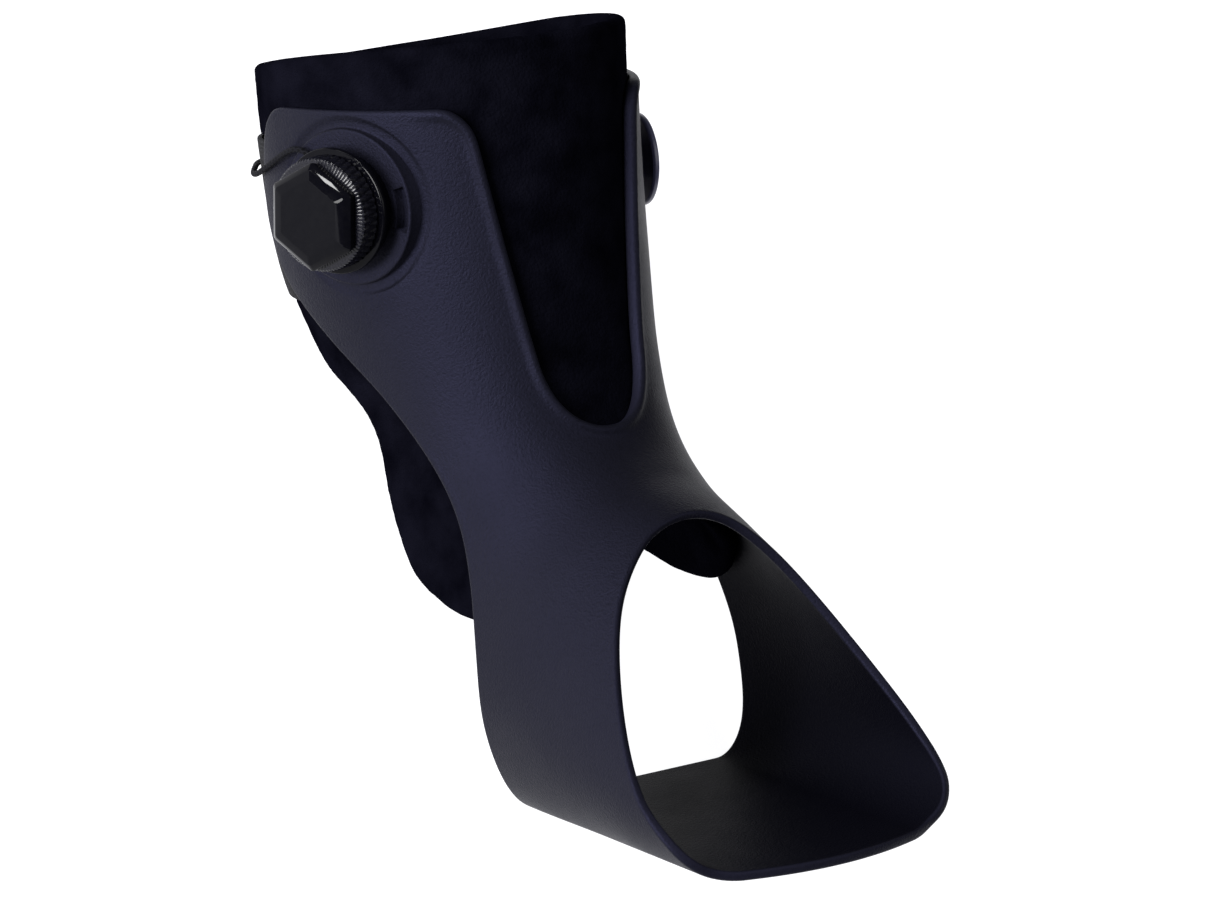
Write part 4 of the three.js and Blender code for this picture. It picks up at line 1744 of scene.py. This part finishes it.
@dataclass
class Dial:
    """The ratchet dial on its wing: base, knurled ring and six-sided cap."""

    seat: Fitting
    base_radius: float = 20.6 * MM
    base_foot: float = 1.55 * MM
    base_top: float = 8.95 * MM
    flange: float = 2.2 * MM
    post_radius: float = 5 * MM
    post_top: float = 13.8 * MM
    grip_radius: float = 18.7 * MM
    grip_foot: float = 9.3 * MM
    grip_top: float = 16.8 * MM
    bore: float = 12 * MM
    cap_radius: float = 18 * MM
    cap_foot: float = 17.15 * MM
    cap_top: float = 22.15 * MM
    stem: float = 3 * MM
    gloss: PolishedPlastic = PolishedPlastic()
    knurl: KnurledPlastic = KnurledPlastic()
    ridges: int = 46
    knurl_rows: int = 12
    slant: float = 0.11
    relief: float = 0.75 * MM

    def base(self) -> Piece:
        """The flanged base, with its post.

        Returns:
            The object, at the origin.
        """
        lip = self.base_top - self.flange
        profile = (
            (DIAL_NECK, self.base_foot),
            (DIAL_NECK, lip),
            (self.base_radius - 0.3 * MM, lip + 0.15 * MM),
            (self.base_radius, lip + 0.55 * MM),
            (self.base_radius, self.base_top - 0.5 * MM),
            (self.base_radius - 0.2 * MM, self.base_top - 0.12 * MM),
            (self.base_radius - 0.6 * MM, self.base_top),
            (self.post_radius, self.base_top),
            (self.post_radius, self.post_top),
        )
        piece = turned("dial_flange", profile, 120)
        soften(piece, 0.12 * MM)
        return piece

    def grip(self) -> Piece:
        """The ring under the cap, with a crossed knurl on its rim.

        Returns:
            The object, at the origin.
        """
        foot, top, radius = self.grip_foot, self.grip_top, self.grip_radius
        wall = [
            (radius, foot + 0.5 * MM + (top - foot - 1 * MM) * k / self.knurl_rows)
            for k in range(self.knurl_rows + 1)
        ]
        profile = (
            (self.bore, foot),
            (radius - 0.9 * MM, foot),
            *wall,
            (radius - 0.9 * MM, top),
            (self.bore, top),
            (self.bore, foot),
        )
        piece = turned("knurled_ring", profile, self.ridges * 10, filled=False)
        for vertex in piece.data.vertices:
            x, y, z = vertex.co
            reach = math.hypot(x, y)
            if reach < radius - 0.5 * MM:
                continue
            angle = math.atan2(y, x)
            rise = (z - foot) / (top - foot)
            one, other = (
                math.sin(0.5 * self.ridges * (angle + slant * rise))
                for slant in (self.slant, -self.slant)
            )
            low = self.relief * (1 - min(abs(one), abs(other)) ** 0.5)
            scale = (radius - low) / reach
            vertex.co = (x * scale, y * scale, z)
        bpy.ops.object.shade_smooth_by_angle(angle=math.radians(40))
        return piece

    def cap(self) -> Piece:
        """The six-sided cap: a bevelled head on a round stem.

        Returns:
            The object, at the origin.
        """
        profile = (
            (0.97 * self.cap_radius, self.cap_foot),
            (self.cap_radius, self.cap_top - 2.25 * MM),
            (self.cap_radius - 2.1 * MM, self.cap_top - 0.75 * MM),
            (self.cap_radius - 5.4 * MM, self.cap_top),
        )
        piece = turned("cap_head", profile, 6)
        bpy.ops.object.mode_set(mode="EDIT")
        work = bmesh.from_edit_mesh(piece.data)
        for edge in work.edges:
            a, b = (vertex.co for vertex in edge.verts)
            level = abs(a.z - b.z) < 1e-6
            edge.select_set(not level and max(a.xy.length, b.xy.length) > 0.8 * self.cap_radius)
        bmesh.update_edit_mesh(piece.data)
        bpy.ops.mesh.bevel(offset=0.7 * MM, segments=3, affect="EDGES", clamp_overlap=True)
        bpy.ops.object.mode_set(mode="OBJECT")
        soften(piece, 0.2 * MM, 3, 12)
        reach = self.bore - SEAT_GAP
        ends = ((reach, self.cap_foot - self.stem), (reach, self.cap_foot + 0.5 * MM))
        stem = turned("cap_stem", ends, 72)
        soften(stem, 0.2 * MM)
        deselect()
        stem.select_set(True)
        make_active(piece)
        bpy.ops.object.join()
        piece.name = "dial_top"
        return piece

    def build(self) -> list[Piece]:
        """Makes and dresses the dial's three pieces.

        Returns:
            The pieces.
        """
        gloss = self.gloss.material()
        made = (
            (self.base(), gloss, Body.BRACE, "dial_gloss", "dial_base"),
            (self.grip(), self.knurl.material(), Body.KNOB, "dial_grip", "dial_grip"),
            (self.cap(), gloss, Body.KNOB, "dial_gloss", "dial_cap"),
        )
        pieces = []
        for piece, material, body, slot, node in made:
            piece.data.transform(self.seat.matrix())
            pieces.append(dress(piece, material, body, [node]))
        return pieces


@dataclass
class FarButton:
    """The round button on the other wing, where the lace ends."""

    seat: Fitting
    radius: float = 15.4 * MM
    thickness: float = 2.4 * MM
    stand_off: float = 3.8 * MM
    finish: SatinPlastic = SatinPlastic()

    def build(self) -> Piece:
        """Makes and dresses the button.

        Returns:
            The piece.
        """
        face = self.stand_off + self.thickness
        profile = (
            (HUB_RADIUS, SEAT_GAP),
            (HUB_RADIUS, self.stand_off),
            (self.radius - 0.7 * MM, self.stand_off),
            (self.radius, self.stand_off + 0.7 * MM),
            (self.radius, face - 0.8 * MM),
            (self.radius - 0.25 * MM, face - 0.25 * MM),
            (self.radius - 0.8 * MM, face),
            (self.radius - 2.0 * MM, face),
            (self.radius - 2.6 * MM, face - 0.35 * MM),
            (3 * MM, face - 0.2 * MM),
        )
        piece = turned("lace_button", profile, 96)
        soften(piece, 0.15 * MM)
        piece.data.transform(self.seat.matrix())
        return dress(piece, self.finish.material(), Body.BRACE, ["far_button"])


@dataclass
class Lace:
    """The braided lace, from the dial's base round the strap to the button's hub."""

    form: LegForm
    dial: Fitting
    button: Fitting
    finish: BraidedCord = BraidedCord()
    sides: int = 12
    strands: int = 6
    ring_gap: float = 0.6 * MM
    relief: float = 0.06

    def route(self) -> Array:
        """The lace's middle line, upright.

        Returns:
            Rows of close points.
        """
        clear = LACE_RADIUS + SEAT_GAP
        over = clear - SHELL_WALL - SEAT_GAP + 1.2 * MM
        # v, turn and rise off the form
        round_back = (
            (0.14, -101.0, clear + 0.2 * MM),
            (0.137, -109.0, over + 1.0 * MM),
            (0.135, -124.0, over + 0.1 * MM),
            (0.134, -150.0, over + 0.1 * MM),
            (0.134, -180.0, over + 0.1 * MM),
            (0.134, 150.0, over + 0.1 * MM),
            (0.135, 130.0, over + 0.6 * MM),
            (0.137, 113.0, clear + 0.3 * MM),
            (0.146, 97.0, clear + 0.4 * MM),
            (0.156, 86.0, clear + 0.4 * MM),
        )
        # fitting, distance from its axis, half turns round it, height on it
        leave = BOSS_RISE + clear + 0.2 * MM
        points = [
            self.beside(self.dial, DIAL_NECK + clear, 0.72, leave),
            self.beside(self.dial, BOSS_RADIUS + clear, 0.79, leave),
            *self.form.off(*np.array(round_back).T),
            self.beside(self.button, HUB_RADIUS + clear, -0.8, clear + 0.3 * MM),
        ]
        return spline(np.array(points), 24)

    @staticmethod
    def beside(seat: Fitting, reach: float, turn: float, height: float) -> Array:
        """Finds a point beside a fitting.

        Args:
            seat: the fitting.
            reach: distance from its axis.
            turn: half turns from its front.
            height: how far out from the wing.

        Returns:
            The upright point.
        """
        angle = turn * math.pi
        return seat.points(np.array([reach * math.cos(angle), reach * math.sin(angle), height]))

    def build(self) -> Piece:
        """Makes and dresses the lace.

        Returns:
            The piece.
        """
        line = self.route()
        length = arc_length(line)
        rings, count = int(length[-1] / self.ring_gap), self.sides
        along = np.linspace(0.0, length[-1], rings)
        line = resampled(line, length, rings)
        tangents = unit(np.gradient(line, axis=0))
        side = np.cross(tangents[0], (0.0, 0.0, 1.0))
        angles = np.linspace(0.0, math.tau, count, endpoint=False)[:, None]
        narrowed = {0: 0.55, 1: 0.9}
        points = []
        for k, (point, tangent) in enumerate(zip(line, tangents)):
            side = side - tangent * np.dot(side, tangent)
            side /= np.linalg.norm(side)
            wave = math.pi * along[k] / self.finish.pitch
            bulge = 1 - self.relief * np.abs(np.sin(self.strands / 2 * angles + wave))
            radius = LACE_RADIUS * bulge * narrowed.get(min(k, rings - 1 - k), 1.0)
            around = np.cos(angles) * side + np.sin(angles) * np.cross(tangent, side)
            points.append(point + radius * around)
        last = (rings - 1) * count
        faces = [
            (r + a, r + (a + 1) % count, r + count + (a + 1) % count, r + count + a)
            for r in range(0, last, count)
            for a in range(count)
        ]
        faces += [tuple(range(count)), tuple(range(last, last + count))]
        corners = ((0, 0), (0, 1), (1, 1), (1, 0))
        places = [
            (along[r + up], (a + on) / count)
            for r in range(rings - 1)
            for a in range(count)
            for up, on in corners
        ]
        places += [(along[end], a / count or 1.0) for end in (0, -1) for a in range(count)]
        piece = new_piece("tension_lace", np.vstack(points), faces)
        layer = piece.data.uv_layers.new(name="UVMap")
        layer.data.foreach_set("uv", np.array(places, np.float32).ravel())
        close_up(piece)
        return dress(piece, self.finish.material(), Body.BRACE, ["lace"])


@dataclass(frozen=True)
class SoftBox:
    """A rectangular lamp: its place right, up and back of the brace as the camera sees it."""

    name: str
    where: Point
    size: tuple[float, float]
    watts: float


@dataclass
class Studio:
    """A pale lit floor, soft light and the camera that stands as the photograph's did."""

    azimuth: float = math.radians(-38.0)
    elevation: float = math.radians(14.5)
    distance: float = 2.6
    target: Point = (0.0, 60 * MM, 110 * MM)
    across: float = -4.1 * MM
    upwards: float = -0.94 * MM
    focal: float = 240.6
    sensor: float = 36.0
    far_clip: float = 50.0
    floor_size: float = 3.6
    sky: float = 0.15
    table: OpalTable = OpalTable()
    lamps: tuple[SoftBox, ...] = (
        SoftBox("key", (-1.02, 0.06, 1.17), (0.45, 0.9), 48.0),
        SoftBox("streak", (-0.68, 1.02, 1.05), (0.2, 0.28), 18.0),
        SoftBox("side", (-1.15, 0.7, 0.72), (0.2, 0.6), 4.0),
        SoftBox("wide", (1.75, 0.5, 1.3), (1.8, 1.8), 20.0),
    )

    def axes(self) -> Matrix:
        """Works out the camera's right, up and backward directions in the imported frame.

        Returns:
            The three directions as columns.
        """
        sin, cos = math.sin, math.cos
        level = cos(self.elevation)
        back = Vector((
            sin(self.azimuth) * level, -cos(self.azimuth) * level, sin(self.elevation)
        ))
        right = Vector((cos(self.azimuth), sin(self.azimuth), 0.0))
        turn = REST.matrix().to_3x3()
        return Matrix((turn @ right, turn @ back.cross(right), turn @ back)).transposed()

    def camera(self, middle: Vector) -> None:
        """Sets the camera up, opposite the middle of the brace.

        Args:
            middle: the place that it looks at, but for its small shifts.
        """
        data = bpy.data.cameras.new("camera")
        data.lens = self.focal
        data.sensor_width = self.sensor
        data.clip_end = self.far_clip
        place = middle + self.axes() @ Vector((self.across, self.upwards, self.distance))
        camera = link_new("camera", data)
        camera.matrix_world = Matrix.Translation(place) @ self.axes().to_4x4()
        bpy.context.scene.camera = camera

    def light(self, middle: Vector, box: SoftBox) -> None:
        """Adds a soft box that looks at the middle of the brace.

        Args:
            middle: that place.
            box: the lamp.
        """
        data = bpy.data.lights.new(box.name, "AREA")
        data.shape = "RECTANGLE"
        data.size, data.size_y = box.size
        data.energy = box.watts
        lamp = link_new(box.name, data)
        lamp.location = middle + self.axes() @ Vector(box.where)
        lamp.rotation_mode = "QUATERNION"
        lamp.rotation_quaternion = (middle - lamp.location).to_track_quat("-Z", "Y")

    def build(self) -> None:
        """Sets up floor, light and camera."""
        middle = REST.matrix() @ Vector(self.target)
        self.camera(middle)
        for box in self.lamps:
            self.light(middle, box)
        deselect()
        bpy.ops.mesh.primitive_grid_add(x_subdivisions=4, y_subdivisions=4, size=self.floor_size)
        floor = bpy.context.active_object
        floor.name = "floor"
        floor.data.materials.append(self.table.material())
        scene = bpy.context.scene
        scene.view_settings.view_transform = "Standard"
        scene.world = scene.world or bpy.data.worlds.new("world")
        scene.world.use_nodes = True
        sky = scene.world.node_tree
        set_inputs(sky, sky.nodes["Background"], {"Color": "#ffffff", "Strength": self.sky})


def main() -> None:
    """Builds the brace's looks piece by piece."""
    logging.basicConfig(level=logging.INFO, format="%(name)s: %(message)s")
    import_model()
    Studio().build()
    form = LegForm()
    dial, button = (
        Fitting.on_wing(form, side, FITTING_BACK, FITTING_HEIGHT)
        for side in (Side.DIAL, Side.BUTTON)
    )
    band = StrapBand(form)
    Shell(form, dial).build()
    Liner(form, band).build()
    CalfStrap(form, band).build()
    Dial(dial).build()
    FarButton(button).build()
    Lace(form, dial, button).build()


if __name__ == "__main__":
    main()
